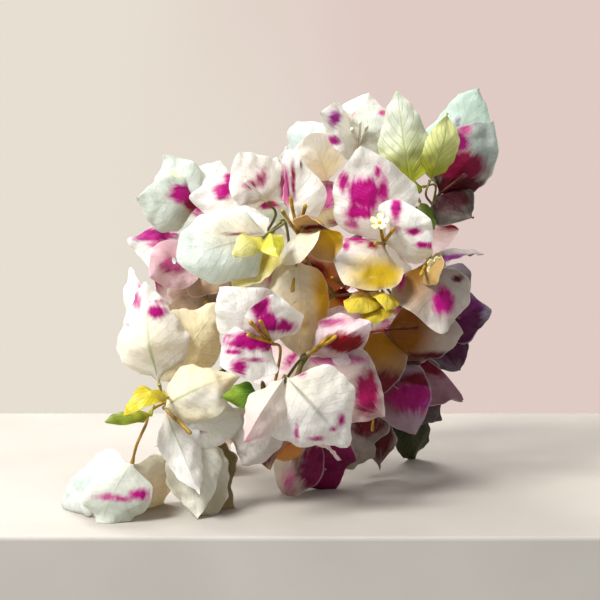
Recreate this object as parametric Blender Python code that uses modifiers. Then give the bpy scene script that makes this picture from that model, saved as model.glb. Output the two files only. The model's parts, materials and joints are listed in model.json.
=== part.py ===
"""Cut flowering spray of a variegated bougainvillea, resting on its own lower bracts.

A woody cut stem carries twigs and stalks. Each stalk ends at a bloom: three papery
bracts round a small knot, with a slender flower tube at the foot of each bract.
Young yellow leaves and older green ones stand between the blooms.
Lengths in the lists are millimetres, X to the right, Y away, Z up.
"""
import math
from collections import namedtuple

import bmesh
import bpy
from mathutils import Matrix, Vector
from mathutils.bvhtree import BVHTree

MM = 0.001

# Driving dimensions
BLADE = 0.7  # thickness of a bract or a leaf
CLEAR = 0.35  # gap kept between one piece and the next
OWN_REACH = 0.2  # share of a bract's length within which its fellows may join it
KNOT = 1.7  # radius of the knot that joins a bloom's bracts
LEAF_KNOT = 1.0
TUBE_LENGTH = 16.0
TUBE_RADIUS = 1.1
STAR_RADIUS = 4.4
TUBE_FOOT_RADIUS = 0.5
TUBE_LEAN = 0.45  # share by which a tube leans out over its own bract
STAR_FOOT_RADIUS = 3.3
STAR_THICKNESS = 0.9
STAR_NOTCH = 0.55  # reach of the notches between a star's lobes, as a share of the lobes'
STALK_RADIUS = 0.6
STALK_CURVE = 4  # how far behind a knot its stalk starts to turn towards the twig

# How a blade is drawn, as shares of its length
CLAW = 0.2  # the narrow foot
SHOULDER = 0.85  # below 1 the widest place lies nearer the foot
FULLNESS = 0.78  # below 1 the sides are rounder
RIPPLES = 1.2  # waves along each margin
RIPPLE_SHIFT = 0.15  # how far one margin's waves run ahead of the other's
ROW_SPACING = 1.3  # above 1 the rows of faces lie closer together near the foot

# What a turn or a smaller size costs, against a degree of tilt, when a blade is bent clear
TURN_COST = 1.4
SHRINK_COST = 130

FOOTPRINT_CENTRE = (2.9, 14.8)  # middle of the footprint, which becomes the origin

Form = namedtuple("Form", "arch cup fold wave")
FORMS = {
    "open": Form(arch=0.10, cup=22, fold=5, wave=0.05),
    "dome": Form(arch=0.17, cup=45, fold=3, wave=0.03),
    "bowl": Form(arch=-0.12, cup=-42, fold=0, wave=0.04),
    "folded": Form(arch=0.08, cup=20, fold=38, wave=0.03),
    "hook": Form(arch=0.42, cup=25, fold=5, wave=0.02),
}

Bract = namedtuple("Bract", "tip width face form")
Bloom = namedtuple("Bloom", "hub opens bracts stars via tubes", defaults=[(), (), 1])
Leaf = namedtuple("Leaf", "base tip width face form colour via", defaults=[()])


def whorl(hub, opens, roll, length=34, width=30, spread=58):
    """Three equal bracts round the way a bloom opens."""
    axis = Vector(opens).normalized()
    across = axis.orthogonal().normalized()
    bracts = []
    for k in range(3):
        turned = Matrix.Rotation(math.radians(roll + 120 * k), 3, axis) @ across
        lean = math.radians(spread)
        way = axis * math.cos(lean) + turned * math.sin(lean)
        bracts.append(Bract(tuple(Vector(hub) + way * length), width, opens, "open"))
    return bracts


# The front blooms come first, because the later ones bend clear of them
BLOOMS = {
    "bloom_lantern": Bloom((3, -52, 61), (0.3, 0.6, -0.7), [
        Bract((26, -42, 33), 42, (0.15, -1, 0.05), "dome"),
        Bract((-8, -56, 33), 22, (-0.2, -1, 0.1), "folded"),
        Bract((12, -26, 14), 22, (-0.9, -0.4, 0), "open"),
    ], via=[(-5, -34, 50), (-2, -47, 53)]),
    "bloom_magenta": Bloom((46, -10, 114), (-0.1, -1, 0.3), [
        Bract((36, -18, 154), 38, (-0.1, -1, 0.15), "open"),
        Bract((67, -22, 127), 34, (0.3, -1, 0.1), "open"),
        Bract((29, -29, 98), 35, (-0.1, -0.95, 0.35), "open"),
    ], stars=[0], tubes=3),
    "bloom_heart": Bloom((-3, -32, 72), (-0.4, -0.8, 0.5), [
        Bract((-24, -36, 95), 32, (-0.3, -1, 0), "open"),
        Bract((-2, -44, 93), 26, (0.1, -0.9, 0.3), "open"),
        Bract((-26, -48, 66), 28, (0, -0.9, 0.5), "open"),
    ], tubes=3),
    "bloom_pillow": Bloom((-4, -18, 118), (-0.7, -0.4, -0.5), [
        Bract((-43, -34, 108), 37, (-0.1, -1, 0.15), "dome"),
        Bract((-17, -38, 102), 26, (0.05, -0.9, 0.3), "bowl"),
        Bract((-34, 2, 124), 28, (-0.2, -0.6, 0.8), "open"),
    ]),
    "bloom_right": Bloom((66, -8, 107), (-0.2, -1, -0.3), [
        Bract((65, -24, 77), 34, (0.1, -1, -0.1), "open"),
        Bract((54, -30, 92), 20, (-0.8, -0.6, 0), "open"),
        Bract((88, -18, 110), 26, (0, -0.2, 1), "open"),
    ], stars=[0], tubes=3),
    "bloom_ledge": Bloom((-48, -43, 46), (0.3, -0.6, -0.7), [
        Bract((-18, -40, 59), 30, (-0.1, -0.9, 0.4), "dome"),
        Bract((-15, -46, 36), 27, (0, -0.95, 0.15), "open"),
        Bract((-33, -58, 15), 22, (0.1, -1, 0.1), "folded"),
    ], via=[(-46, -30, 48)]),
    "bloom_cream": Bloom((8, -18, 108), (-0.2, -0.6, -0.7), [
        Bract((10, -38, 73), 30, (0.15, -1, 0.1), "dome"),
        Bract((-12, -34, 93), 28, (-0.2, -0.95, 0.2), "open"),
        Bract((-12, 0, 88), 26, (-0.3, -0.9, 0.1), "open"),
    ]),
    "bloom_upright": Bloom((8, -16, 118), (-0.2, -0.5, 0.9), [
        Bract((3, -18, 154), 28, (-0.6, -0.8, 0), "folded"),
        Bract((30, -28, 114), 30, (0.1, -0.8, -0.6), "bowl"),
        Bract((-4, -32, 110), 24, (-0.15, -0.6, -0.8), "bowl"),
    ], via=[(24, -6, 90), (14, -8, 103)], tubes=3),
    "bloom_blush": Bloom((12, -28, 66), (0.5, -0.7, 0.5), [
        Bract((32, -38, 88), 24, (0.1, -0.95, 0.3), "folded"),
        Bract((43, -14, 80), 28, (0.2, -0.7, 0.6), "open"),
        Bract((43, -20, 40), 36, (0.3, -0.95, 0), "open"),
    ], tubes=2),
    "bloom_hanging": Bloom((-52, -28, 54), (-0.1, 0.7, 0.7), [
        Bract((-57, -26, 95), 34, (-0.15, -1, 0.1), "dome"),
        Bract((-27, -16, 86), 36, (0.15, -1, 0.05), "dome"),
        Bract((-62, 0, 100), 28, (-0.7, -0.7, 0), "open"),
    ], via=[(-50, -22, 46)]),
    "bloom_shore": Bloom((-61, -48, 24), (-0.4, -0.4, -0.8), [
        Bract((-94, -28, -1), 30, (-0.4, -0.7, 0.6), "dome"),
        Bract((-74, -54, -1), 32, (-0.1, -1, 0.25), "dome"),
        Bract((-52, -24, -1), 28, (0.3, -0.9, 0.2), "dome"),
    ], via=[(-54, -34, 44), (-55, -50, 40), (-58, -55, 33)]),
    "bloom_slipper": Bloom((-38, -32, 34), (0, -0.5, -0.9), [
        Bract((-51, -50, 5), 28, (-0.3, -0.9, 0.2), "dome"),
        Bract((-35, -48, -1), 30, (0, -1, 0.15), "dome"),
        Bract((-18, -42, 0), 28, (0.4, -0.9, 0.1), "dome"),
    ]),
    "bloom_tip": Bloom((73, 18, 135), (0.5, -0.3, 0.9), [
        Bract((93, 34, 184), 34, (-0.25, -1, 0.15), "open"),
        Bract((86, 16, 173), 33, (0.2, -1, -0.1), "open"),
        Bract((85, 4, 124), 28, (0.4, -0.9, -0.2), "dome"),
    ], tubes=3),
    "bloom_crown": Bloom((37, 34, 158), (-0.1, -1, 0.5), [
        Bract((20, 10, 172), 28, (-0.2, -0.85, 0.5), "open"),
        Bract((41, 26, 181), 28, (0, -0.95, 0.3), "open"),
        Bract((57, 22, 173), 28, (0.3, -0.9, 0.3), "open"),
    ], tubes=3),
    "bloom_veil": Bloom((22, 40, 142), (-0.3, -0.8, 0.6), [
        Bract((8, 46, 170), 34, (-0.4, -0.9, 0.1), "open"),
        Bract((14, 12, 162), 38, (-0.1, -0.9, 0.3), "dome"),
        Bract((20, 10, 129), 28, (0, -1, 0.2), "open"),
    ]),
    "bloom_west": Bloom((-38, 12, 130), (-0.5, -0.8, 0.4), [
        Bract((-53, 12, 152), 24, (-0.1, -1, 0.2), "open"),
        Bract((-63, -4, 133), 30, (-0.2, -0.95, 0.1), "dome"),
        Bract((-28, 16, 150), 26, (0.2, -0.9, 0.3), "open"),
    ], stars=[0]),
    "bloom_stripe": Bloom((-6, 10, 132), (-0.4, -0.6, 0.7), [
        Bract((-32, -10, 138), 30, (-0.1, -0.95, 0.25), "open"),
        Bract((-19, 8, 153), 28, (0.1, -0.9, 0.4), "open"),
        Bract((2, 14, 155), 28, (0.2, -1, 0.1), "open"),
    ]),
    "bloom_pink": Bloom((-40, 4, 108), (-0.8, -0.4, -0.4), [
        Bract((-64, -6, 118), 25, (-0.1, -0.8, 0.6), "open"),
        Bract((-58, -14, 98), 26, (-0.2, -1, 0), "open"),
        Bract((-22, 0, 94), 30, (0, -1, -0.1), "open"),
    ]),
    "bloom_fold": Bloom((-7, -32, 47), (0, 0.3, -1), [
        Bract((-16, -48, 26), 32, (-0.1, -1, 0.1), "dome"),
        Bract((-4, -22, 16), 24, (0.1, -0.9, 0.4), "open"),
        Bract((4, -8, 20), 26, (0.1, -1, 0.1), "open"),
    ]),
    "bloom_foot": Bloom((15, -10, 30), (0.2, 0.1, -1), [
        Bract((22, 2, -1), 34, (0.1, -1, 0.1), "open"),
        Bract((4, -4, -1), 26, (-0.4, -0.9, 0.1), "open"),
        Bract((42, 14, 13), 28, (0.2, -1, 0.1), "open"),
    ]),
    "bloom_glow": Bloom((48, 8, 73), (0.8, -0.6, 0.2), [
        Bract((80, -4, 72), 34, (0.1, -1, -0.15), "dome"),
        Bract((76, 26, 62), 28, (0.2, -0.5, -0.8), "open"),
        Bract((38, 0, 44), 32, (0.1, -1, 0), "open"),
    ]),
    "bloom_wine": Bloom((50, 14, 58), (0.7, -0.7, 0.1), [
        Bract((87, 6, 51), 28, (0.1, -0.7, 0.7), "bowl"),
        Bract((75, 4, 36), 32, (0, -1, -0.1), "open"),
        Bract((88, 34, 27), 34, (0.3, -0.9, -0.2), "open"),
    ]),
    "bloom_dusk": Bloom((72, 42, 74), (0.7, -0.6, 0.1), [
        Bract((99, 30, 80), 30, (0.4, -0.9, 0), "open"),
        Bract((88, 44, 50), 30, (0.3, -0.9, -0.2), "open"),
        Bract((88, 46, 100), 30, (0.4, -0.8, 0.3), "open"),
    ]),
    "bloom_garnet": Bloom((45, 20, 41), (-0.2, -0.6, -0.8), [
        Bract((48, 32, 8), 21, (-0.1, -1, 0), "folded"),
        Bract((31, 8, 19), 26, (-0.2, -0.9, 0.2), "open"),
        Bract((34, 46, 16), 26, (-0.6, -0.8, 0), "open"),
    ]),
    "bloom_ember": Bloom((30, 26, 92), (-0.2, -1, 0.2), [
        Bract((8, 8, 108), 30, (-0.2, -0.9, 0.3), "open"),
        Bract((42, 6, 110), 28, (0.2, -0.9, 0.3), "open"),
        Bract((27, 6, 66), 32, (0, -1, -0.2), "open"),
    ]),
    "bloom_shade": Bloom((-28, 20, 76), (-0.3, -0.9, 0.3), [
        Bract((-40, 18, 110), 38, (0, -1, 0.1), "open"),
        Bract((-58, 8, 78), 30, (-0.1, -1, 0), "open"),
        Bract((-10, 18, 104), 30, (0.2, -1, 0), "open"),
    ]),
    "bloom_back_1": Bloom((-32, 44, 118), (-0.5, 0.7, 0.4),
                          whorl((-32, 44, 118), (-0.5, 0.7, 0.4), 20)),
    "bloom_back_2": Bloom((12, 58, 128), (0, 0.8, 0.6),
                          whorl((12, 58, 128), (0, 0.8, 0.6), 70)),
    "bloom_back_3": Bloom((52, 52, 112), (0.5, 0.8, 0.4),
                          whorl((52, 52, 112), (0.5, 0.8, 0.4), 40)),
    "bloom_back_4": Bloom((-48, 44, 78), (-0.8, 0.6, 0),
                          whorl((-48, 44, 78), (-0.8, 0.6, 0), 10)),
    "bloom_back_5": Bloom((-8, 66, 88), (-0.2, 1, 0.1),
                          whorl((-8, 66, 88), (-0.2, 1, 0.1), 95)),
    "bloom_back_6": Bloom((40, 66, 74), (0.4, 1, -0.1),
                          whorl((40, 66, 74), (0.4, 1, -0.1), 50)),
    "bloom_back_7": Bloom((-36, 38, 30), (-0.6, 0.5, -0.6), [
        Bract((-62, 44, 12), 30, (-0.5, 0.4, 0.8), "open"),
        Bract((-38, 58, -1), 30, (-0.3, 0.9, 0.3), "open"),
        Bract((-30, 26, -1), 28, (-0.8, -0.5, 0.2), "open"),
    ]),
    "bloom_back_8": Bloom((8, 58, 44), (0, 0.9, -0.4),
                          whorl((8, 58, 44), (0, 0.9, -0.4), 30)),
}

LEAVES = {
    "leaf_lime": Leaf((68, 5, 142), (75, -2, 170), 17, (0.3, -0.95, 0.1), "open", "lime"),
    "leaf_pale": Leaf((60, 12, 138), (54, 14, 180), 25, (-0.1, -1, 0.1), "open", "pale"),
    "leaf_calyx": Leaf((65, 5, 139), (54, -2, 138), 9, (0, -0.8, 0.6), "open", "lime"),
    "leaf_drop": Leaf((64, 10, 132), (69, 4, 120), 9, (0.1, -1, 0.2), "open", "green"),
    "leaf_gold": Leaf((40, -14, 91), (30, -36, 86), 16, (-0.2, -0.9, 0.4), "open", "yellow"),
    "leaf_amber": Leaf((46, -10, 92), (46, -35, 88), 15, (0.1, -0.95, 0.2), "open", "yellow"),
    "leaf_straw": Leaf((51, -12, 86), (35, -34, 80), 11, (0, -0.6, 0.8), "open", "yellow"),
    "leaf_primrose": Leaf((-7, -29, 117), (-18, -48, 110), 11, (0, -0.95, 0.3), "open", "yellow",
                          via=[(0, -22, 123)]),
    "leaf_sprig": Leaf((-4, -31, 119), (0, -46, 108), 10, (0.1, -1, 0.1), "folded", "lime",
                       via=[(2, -24, 123)]),
    "leaf_jade": Leaf((-8, -42, 51), (-23, -49, 52), 13, (0, -0.85, 0.5), "dome", "green"),
    "leaf_arc": Leaf((-46, -47, 51), (-61, -58, 46), 10, (-0.2, -0.8, 0.6), "hook", "yellow",
                     via=[(-49, -37, 52)]),
    "leaf_green_tip": Leaf((-53, -48, 44), (-69, -60, 43), 8, (0, -0.7, 0.7), "open", "green",
                           via=[(-53, -38, 46)]),
    "leaf_moss": Leaf((61, 46, 34), (68, 64, -1), 22, (0.2, -1, 0.1), "open", "dark"),
}

# The wooden frame of the spray: each twig's points, its radius at the foot and at the tip
TWIGS = [
    ([(26, 92, 48), (22, 62, 66), (12, 28, 82), (26, 24, 108), (48, 24, 122), (62, 20, 130)], 2.0, 1.1),
    ([(12, 28, 82), (-4, 22, 104), (-18, 20, 118)], 1.5, 0.9),
    ([(12, 28, 82), (2, 8, 84), (6, 0, 88)], 1.4, 0.9),
    ([(12, 28, 82), (-8, 16, 68), (-27, -2, 55), (-43, -20, 47)], 1.5, 0.9),
    ([(12, 28, 82), (10, 18, 58), (4, 2, 46), (-4, -24, 44)], 1.5, 0.9),
    ([(12, 28, 82), (30, 26, 66), (40, 26, 52)], 1.4, 0.9),
    ([(22, 62, 66), (30, 50, 88), (44, 40, 100)], 1.4, 0.9),
    ([(22, 62, 66), (-2, 50, 84), (-22, 38, 100)], 1.4, 0.9),
    ([(12, 28, 82), (-10, 34, 60), (-26, 34, 42)], 1.4, 0.9),
]

COLOURS = {
    "bract": ("#EFE9E2", 0.55),
    "wood": ("#6E6A2C", 0.7),
    "lime": ("#C3CF55", 0.5),
    "pale": ("#E2EBC4", 0.5),
    "yellow": ("#DDC52E", 0.5),
    "green": ("#5C8A24", 0.5),
    "dark": ("#3F4526", 0.55),
}


def clear_scene():
    for obj in list(bpy.data.objects):
        bpy.data.objects.remove(obj, do_unlink=True)


def linear(hex_colour):
    """An sRGB hex colour as linear values."""
    parts = [int(hex_colour[i:i + 2], 16) / 255 for i in (1, 3, 5)]
    return [c / 12.92 if c <= 0.04045 else ((c + 0.055) / 1.055) ** 2.4 for c in parts] + [1.0]


def finish(name):
    material = bpy.data.materials.get(name)
    if material is None:
        hex_colour, roughness = COLOURS[name]
        material = bpy.data.materials.new(name)
        material.use_nodes = True
        shader = material.node_tree.nodes["Principled BSDF"]
        shader.inputs["Base Color"].default_value = linear(hex_colour)
        shader.inputs["Roughness"].default_value = roughness
    return material


def outline(v):
    """Half width along a blade as a share of the widest: a narrow claw, a round base, a pointed tip."""
    if not 0 < v < 1:
        return 0.0
    claw = min(v / CLAW, 1)
    return math.sin(math.pi * v ** SHOULDER) ** FULLNESS * claw * claw * (3 - 2 * claw)


def blade_point(u, v, foot, bract, bend):
    """A point of the middle surface: u runs from side to side, v from foot to tip."""
    tilt, turn, size = bend
    form = FORMS[bract.form]
    way = Vector(bract.tip) - foot
    face = Vector(bract.face)
    face = (face - way * face.dot(way) / way.length_squared).normalized()
    side = way.cross(face).normalized()
    bent = Matrix.Rotation(math.radians(turn), 3, face) @ Matrix.Rotation(math.radians(tilt), 3, side)
    way, face, side = bent @ way * size, bent @ face, bent @ side
    half = bract.width / 2 * size * outline(v)
    cup = math.radians(form.cup) or 1e-6
    across = half * math.sin(cup * u) / cup
    back = half * (1 - math.cos(cup * u)) / cup + abs(across) * math.sin(math.radians(form.fold))
    wave = math.sin(math.tau * (RIPPLES * v + RIPPLE_SHIFT * math.copysign(1, u)))
    ripple = form.wave * bract.width * outline(v) * u * u * wave
    rise = form.arch * way.length * math.sin(math.pi * v)
    return foot + way * v + side * across * math.cos(math.radians(form.fold)) + face * (rise - back + ripple)


class Sheet:
    """The grid of a blade, drawn to a point at both ends, its rows closer together near the foot."""

    def __init__(self, across, along):
        grid = bmesh.new()
        bmesh.ops.create_grid(grid, x_segments=across, y_segments=along, size=1)
        for end in (-1, 1):
            row = [v for v in grid.verts if v.co.y * end > 0.999]
            bmesh.ops.pointmerge(grid, verts=row, merge_co=Vector((0, end, 0)))
        claw_row = sorted({round(v.co.y, 4) for v in grid.verts})[1]
        for side in (-1, 1):
            edge = [v for v in grid.verts if abs(v.co.y - claw_row) < 1e-3 and v.co.x * side > 0.1]
            bmesh.ops.pointmerge(grid, verts=edge, merge_co=Vector((side, claw_row, 0)))
        bmesh.ops.triangulate(grid, faces=grid.faces[:])
        self.places = [(v.co.x, ((v.co.y + 1) / 2) ** ROW_SPACING) for v in grid.verts]
        grid.verts.index_update()
        self.faces = [[v.index for v in f.verts] for f in grid.faces]
        self.rim = [[loop.vert.index, loop.link_loop_next.vert.index]
                    for f in grid.faces for loop in f.loops if loop.edge.is_boundary]
        grid.free()
        outer = [i for i, f in enumerate(self.faces) if min(self.places[k][1] for k in f) > OWN_REACH]
        self.outer = outer + [len(self.faces) + i for i in outer]


SHEET = Sheet(4, 4)


def blade_sheet(foot, bract, bend):
    return [blade_point(u, v, foot, bract, bend) for u, v in SHEET.places]


def thick_blade(points, thickness):
    """Corners and faces of a closed solid round a blade's middle surface."""
    normals = [Vector() for _ in points]
    for a, b, c in SHEET.faces:
        normal = (points[b] - points[a]).cross(points[c] - points[a])
        for corner in (a, b, c):
            normals[corner] += normal
    lift = [n.normalized() * thickness / 2 for n in normals]
    upper = [p + n for p, n in zip(points, lift)]
    lower = [p - n for p, n in zip(points, lift)]
    count = len(points)
    faces = SHEET.faces + [[count + i for i in reversed(f)] for f in SHEET.faces]
    for a, b in SHEET.rim:
        faces += [[b, a, a + count], [b, a + count, b + count]]
    return upper + lower, faces


def tube_solid(foot, way, extra=0.0, star=False):
    """A slender four-sided flower tube, swollen near its end, with an open star if it has one."""
    tube = bmesh.new()
    bmesh.ops.create_cone(tube, cap_ends=True, segments=4, radius1=TUBE_FOOT_RADIUS + extra,
                          radius2=TUBE_RADIUS + extra, depth=way.length)
    bmesh.ops.translate(tube, verts=tube.verts, vec=(0, 0, way.length / 2))
    if star:
        disc = bmesh.ops.create_cone(tube, cap_ends=True, segments=10, radius1=STAR_FOOT_RADIUS + extra,
                                     radius2=STAR_RADIUS + extra, depth=STAR_THICKNESS + extra)["verts"]
        for index, corner in enumerate(sorted(disc, key=lambda v: math.atan2(v.co.y, v.co.x))):
            if index // 2 % 2:
                corner.co.xy *= STAR_NOTCH
        bmesh.ops.translate(tube, verts=disc, vec=(0, 0, way.length))
    turn = Vector((0, 0, 1)).rotation_difference(way)
    bmesh.ops.rotate(tube, verts=tube.verts, matrix=turn.to_matrix(), cent=(0, 0, 0))
    bmesh.ops.translate(tube, verts=tube.verts, vec=foot)
    bmesh.ops.triangulate(tube, faces=tube.faces[:])
    tube.verts.index_update()
    solid = [v.co.copy() for v in tube.verts], [[v.index for v in f.verts] for f in tube.faces]
    tube.free()
    return solid


def tube_way(opens, bract, foot, bend):
    """A tube stands along the way the bloom opens, leaning out over its own bract."""
    tilt, turn, size = bend
    axis = Vector(opens).normalized()
    out = (Vector(bract.tip) - foot).normalized()
    way = (axis + out * TUBE_LEAN).normalized()
    side = way.orthogonal().normalized()
    turned = Matrix.Rotation(math.radians(turn), 3, way.cross(side))
    bent = turned @ Matrix.Rotation(math.radians(tilt), 3, side)
    return bent @ way * TUBE_LENGTH * size


def bends():
    """Every tilt, turn and size a blade may be given, the least change first."""
    tilts = [0, 8, -8, 16, -16, 24, -24, 32, -32, 42, -42]
    turns = [0, 8, -8, 16, -16, 26, -26]
    sizes = [1.0, 0.9, 0.8]
    every = [(tilt, turn, size) for tilt in tilts for turn in turns for size in sizes]
    return sorted(every, key=lambda b: abs(b[0]) + TURN_COST * abs(b[1]) + SHRINK_COST * (1 - b[2]))


BENDS = bends()


class Neighbours:
    """The solids already in place, each with the node that it belongs to."""

    def __init__(self):
        self.placed = []
        self.outer = {}

    def add(self, node, points, faces):
        low = [min(p[i] for p in points) for i in range(3)]
        high = [max(p[i] for p in points) for i in range(3)]
        self.placed.append((node, BVHTree.FromPolygons(points, faces), low, high))

    def add_outer(self, node, points, faces):
        """What the bloom's own later bracts keep clear of: a bract without its foot."""
        self.outer.setdefault(node, []).append(BVHTree.FromPolygons(points, faces))

    def touch_own(self, node, points, faces):
        tree = BVHTree.FromPolygons(points, faces)
        return any(tree.overlap(other) for other in self.outer.get(node, []))

    def touch(self, node, points, faces):
        low = [min(p[i] for p in points) for i in range(3)]
        high = [max(p[i] for p in points) for i in range(3)]
        tree = None
        for other, placed, other_low, other_high in self.placed:
            if other == node or any(low[i] > other_high[i] or high[i] < other_low[i] for i in range(3)):
                continue
            tree = tree or BVHTree.FromPolygons(points, faces)
            if tree.overlap(placed):
                return other
        return None


def bend_clear(neighbours, node, what, solid_at, outer=()):
    """The least bend that keeps a solid clear of other nodes, and a bract's outer faces of its fellows."""
    for bend in BENDS:
        points, faces = solid_at(bend, 2 * CLEAR)
        if outer and neighbours.touch_own(node, points, [faces[i] for i in outer]):
            continue
        if not neighbours.touch(node, points, faces):
            return bend
    raise ValueError(f"{node}: {what} has no clear place, first against "
                     f"{neighbours.touch(node, *solid_at(BENDS[0], 2 * CLEAR))}")


def curve_through(points, steps):
    """A smooth run of points through those given."""
    points = [Vector(p) for p in points]
    padded = [2 * points[0] - points[1], *points, 2 * points[-1] - points[-2]]
    run = []
    for a, b, c, d in zip(padded, padded[1:], padded[2:], padded[3:]):
        for k in range(steps):
            t = k / steps
            run.append(0.5 * (2 * b + (c - a) * t + (2 * a - 5 * b + 4 * c - d) * t ** 2
                              + (3 * b - a - 3 * c + d) * t ** 3))
    return run + [points[-1]]


def rod(run, foot_radius, tip_radius, collection, sides=6):
    """A tapering round rod along a run of points, as a closed mesh object."""
    curve = bpy.data.curves.new("rod", "CURVE")
    curve.dimensions = "3D"
    curve.bevel_depth = MM
    curve.bevel_resolution = (sides - 4) // 2
    curve.use_fill_caps = True
    spline = curve.splines.new("POLY")
    spline.points.add(len(run) - 1)
    for index, (point, place) in enumerate(zip(spline.points, run)):
        point.co = (*(place * MM), 1)
        point.radius = foot_radius + (tip_radius - foot_radius) * index / (len(run) - 1)
    guide = bpy.data.objects.new("rod", curve)
    bpy.context.scene.collection.objects.link(guide)
    mesh = bpy.data.meshes.new_from_object(guide.evaluated_get(bpy.context.evaluated_depsgraph_get()))
    bpy.data.objects.remove(guide)
    bpy.data.curves.remove(curve)
    welded = bmesh.new()
    welded.from_mesh(mesh)
    bmesh.ops.remove_doubles(welded, verts=welded.verts, dist=1e-6)
    bmesh.ops.triangulate(welded, faces=welded.faces[:])
    welded.to_mesh(mesh)
    welded.free()
    piece = bpy.data.objects.new("rod", mesh)
    collection.objects.link(piece)
    return piece


def stalk_run(twig_points, knot, radius, opens, via):
    """From the nearest twig to just behind a knot's flat side, arriving along the way the bloom opens."""
    back = Vector(opens).normalized()
    spread = abs(back.x) + abs(back.y) + abs(back.z)
    slope = math.sqrt(max(3 / spread ** 2 - 1, 0))
    reach = min(radius / spread + STALK_RADIUS * slope, radius)
    middle = [knot - back * (STALK_CURVE + 3 * radius)]
    if via:
        back = (knot - Vector(via[-1])).normalized()
        reach = radius
        middle = [Vector(p) for p in via]
    end = knot - back * (reach + CLEAR)
    start = min(twig_points, key=lambda p: (p - middle[0]).length)
    return curve_through([start, *middle, end], 2)


def solid_object(name, points, faces, collection):
    mesh = bpy.data.meshes.new(name)
    mesh.from_pydata([p * MM for p in points], [], faces)
    piece = bpy.data.objects.new(name, mesh)
    collection.objects.link(piece)
    return piece


def knot_object(name, place, radius, collection):
    ball = bmesh.new()
    bmesh.ops.create_uvsphere(ball, u_segments=4, v_segments=2, radius=radius * MM)
    bmesh.ops.translate(ball, verts=ball.verts, vec=place * MM)
    mesh = bpy.data.meshes.new(name)
    ball.to_mesh(mesh)
    ball.free()
    piece = bpy.data.objects.new(name, mesh)
    collection.objects.link(piece)
    return piece


def blade_object(name, points, collection):
    """A blade as an open sheet made solid by Solidify."""
    sheet = solid_object(name, points, SHEET.faces, collection)
    shell = sheet.modifiers.new("Solidify", "SOLIDIFY")
    shell.thickness = BLADE * MM
    shell.offset = 0
    baked = bpy.data.meshes.new_from_object(sheet.evaluated_get(bpy.context.evaluated_depsgraph_get()))
    sheet.modifiers.clear()
    sheet.data = baked


def trim(mesh):
    """Cuts a body level where it meets the ground, and fills any pocket sealed between two of its pieces."""
    body = bmesh.new()
    body.from_mesh(mesh)
    if min(v.co.z for v in body.verts) < 0:
        cut = bmesh.ops.bisect_plane(body, geom=body.verts[:] + body.edges[:] + body.faces[:], dist=1e-7,
                                     plane_co=(0, 0, 0), plane_no=(0, 0, -1), clear_outer=True)["geom_cut"]
        rim = [edge for edge in cut if isinstance(edge, bmesh.types.BMEdge)]
        bmesh.ops.triangle_fill(body, edges=rim, use_beauty=True, normal=(0, 0, -1))
    outer = {max(body.verts, key=lambda v: v.co.length)}
    found = list(outer)
    while found:
        corner = found.pop()
        beside = {edge.other_vert(corner) for edge in corner.link_edges} - outer
        outer |= beside
        found += beside
    bmesh.ops.delete(body, geom=[v for v in body.verts if v not in outer], context="VERTS")
    body.to_mesh(mesh)
    body.free()


def union(name, base, parts, colour, home):
    """One closed body from a base and the collection of what grows from it."""
    join = base.modifiers.new("Union", "BOOLEAN")
    join.operation = "UNION"
    join.operand_type = "COLLECTION"
    join.collection = parts
    join.solver = "EXACT"
    mesh = bpy.data.meshes.new_from_object(base.evaluated_get(bpy.context.evaluated_depsgraph_get()))
    trim(mesh)
    for piece in [base, *parts.objects]:
        bpy.data.objects.remove(piece)
    bpy.data.collections.remove(parts)
    middle = Vector((*FOOTPRINT_CENTRE, 0)) * MM
    for corner in mesh.vertices:
        corner.co -= middle
    mesh.name = name
    mesh.materials.clear()
    mesh.materials.append(finish(colour))
    body = bpy.data.objects.new(name, mesh)
    home.objects.link(body)
    return body


def working_collection(name):
    parts = bpy.data.collections.new(name)
    bpy.context.scene.collection.children.link(parts)
    return parts


def wooden_runs():
    """The twigs, then a stalk for every bloom and leaf, each as its points and its two radii."""
    runs = [(curve_through(points, 2), foot, tip) for points, foot, tip in TWIGS]
    twig_points = [p for run, _, _ in runs for p in run]
    stalk_points = []
    for bloom in BLOOMS.values():
        run = stalk_run(twig_points, Vector(bloom.hub), KNOT, bloom.opens, bloom.via)
        runs.append((run, STALK_RADIUS * 1.2, STALK_RADIUS))
        stalk_points += run[1:-1]
    for leaf in LEAVES.values():
        way = Vector(leaf.tip) - Vector(leaf.base)
        run = stalk_run(twig_points + stalk_points, Vector(leaf.base), LEAF_KNOT, way, leaf.via)
        runs.append((run, STALK_RADIUS, STALK_RADIUS * 0.8))
    return runs


def make_branch(neighbours, home):
    """The cut stem, its twigs and every stalk as one body."""
    parts = working_collection("branch parts")
    rods = [rod(run, foot, tip, parts, 6 if foot > 1 else 4) for run, foot, tip in wooden_runs()]
    for piece in rods:
        points = [v.co / MM for v in piece.data.vertices]
        neighbours.add("branch", points, [list(f.vertices) for f in piece.data.polygons])
    parts.objects.unlink(rods[0])
    bpy.context.scene.collection.objects.link(rods[0])
    return union("branch", rods[0], parts, "wood", home)


def place_knots(neighbours):
    every = [(name, bloom.hub, KNOT) for name, bloom in BLOOMS.items()]
    every += [(name, leaf.base, LEAF_KNOT) for name, leaf in LEAVES.items()]
    for name, place, radius in every:
        ball = bmesh.new()
        bmesh.ops.create_uvsphere(ball, u_segments=4, v_segments=2, radius=radius)
        points = [v.co + Vector(place) for v in ball.verts]
        ball.verts.index_update()
        neighbours.add(name, points, [[v.index for v in f.verts] for f in ball.faces])
        ball.free()


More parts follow.
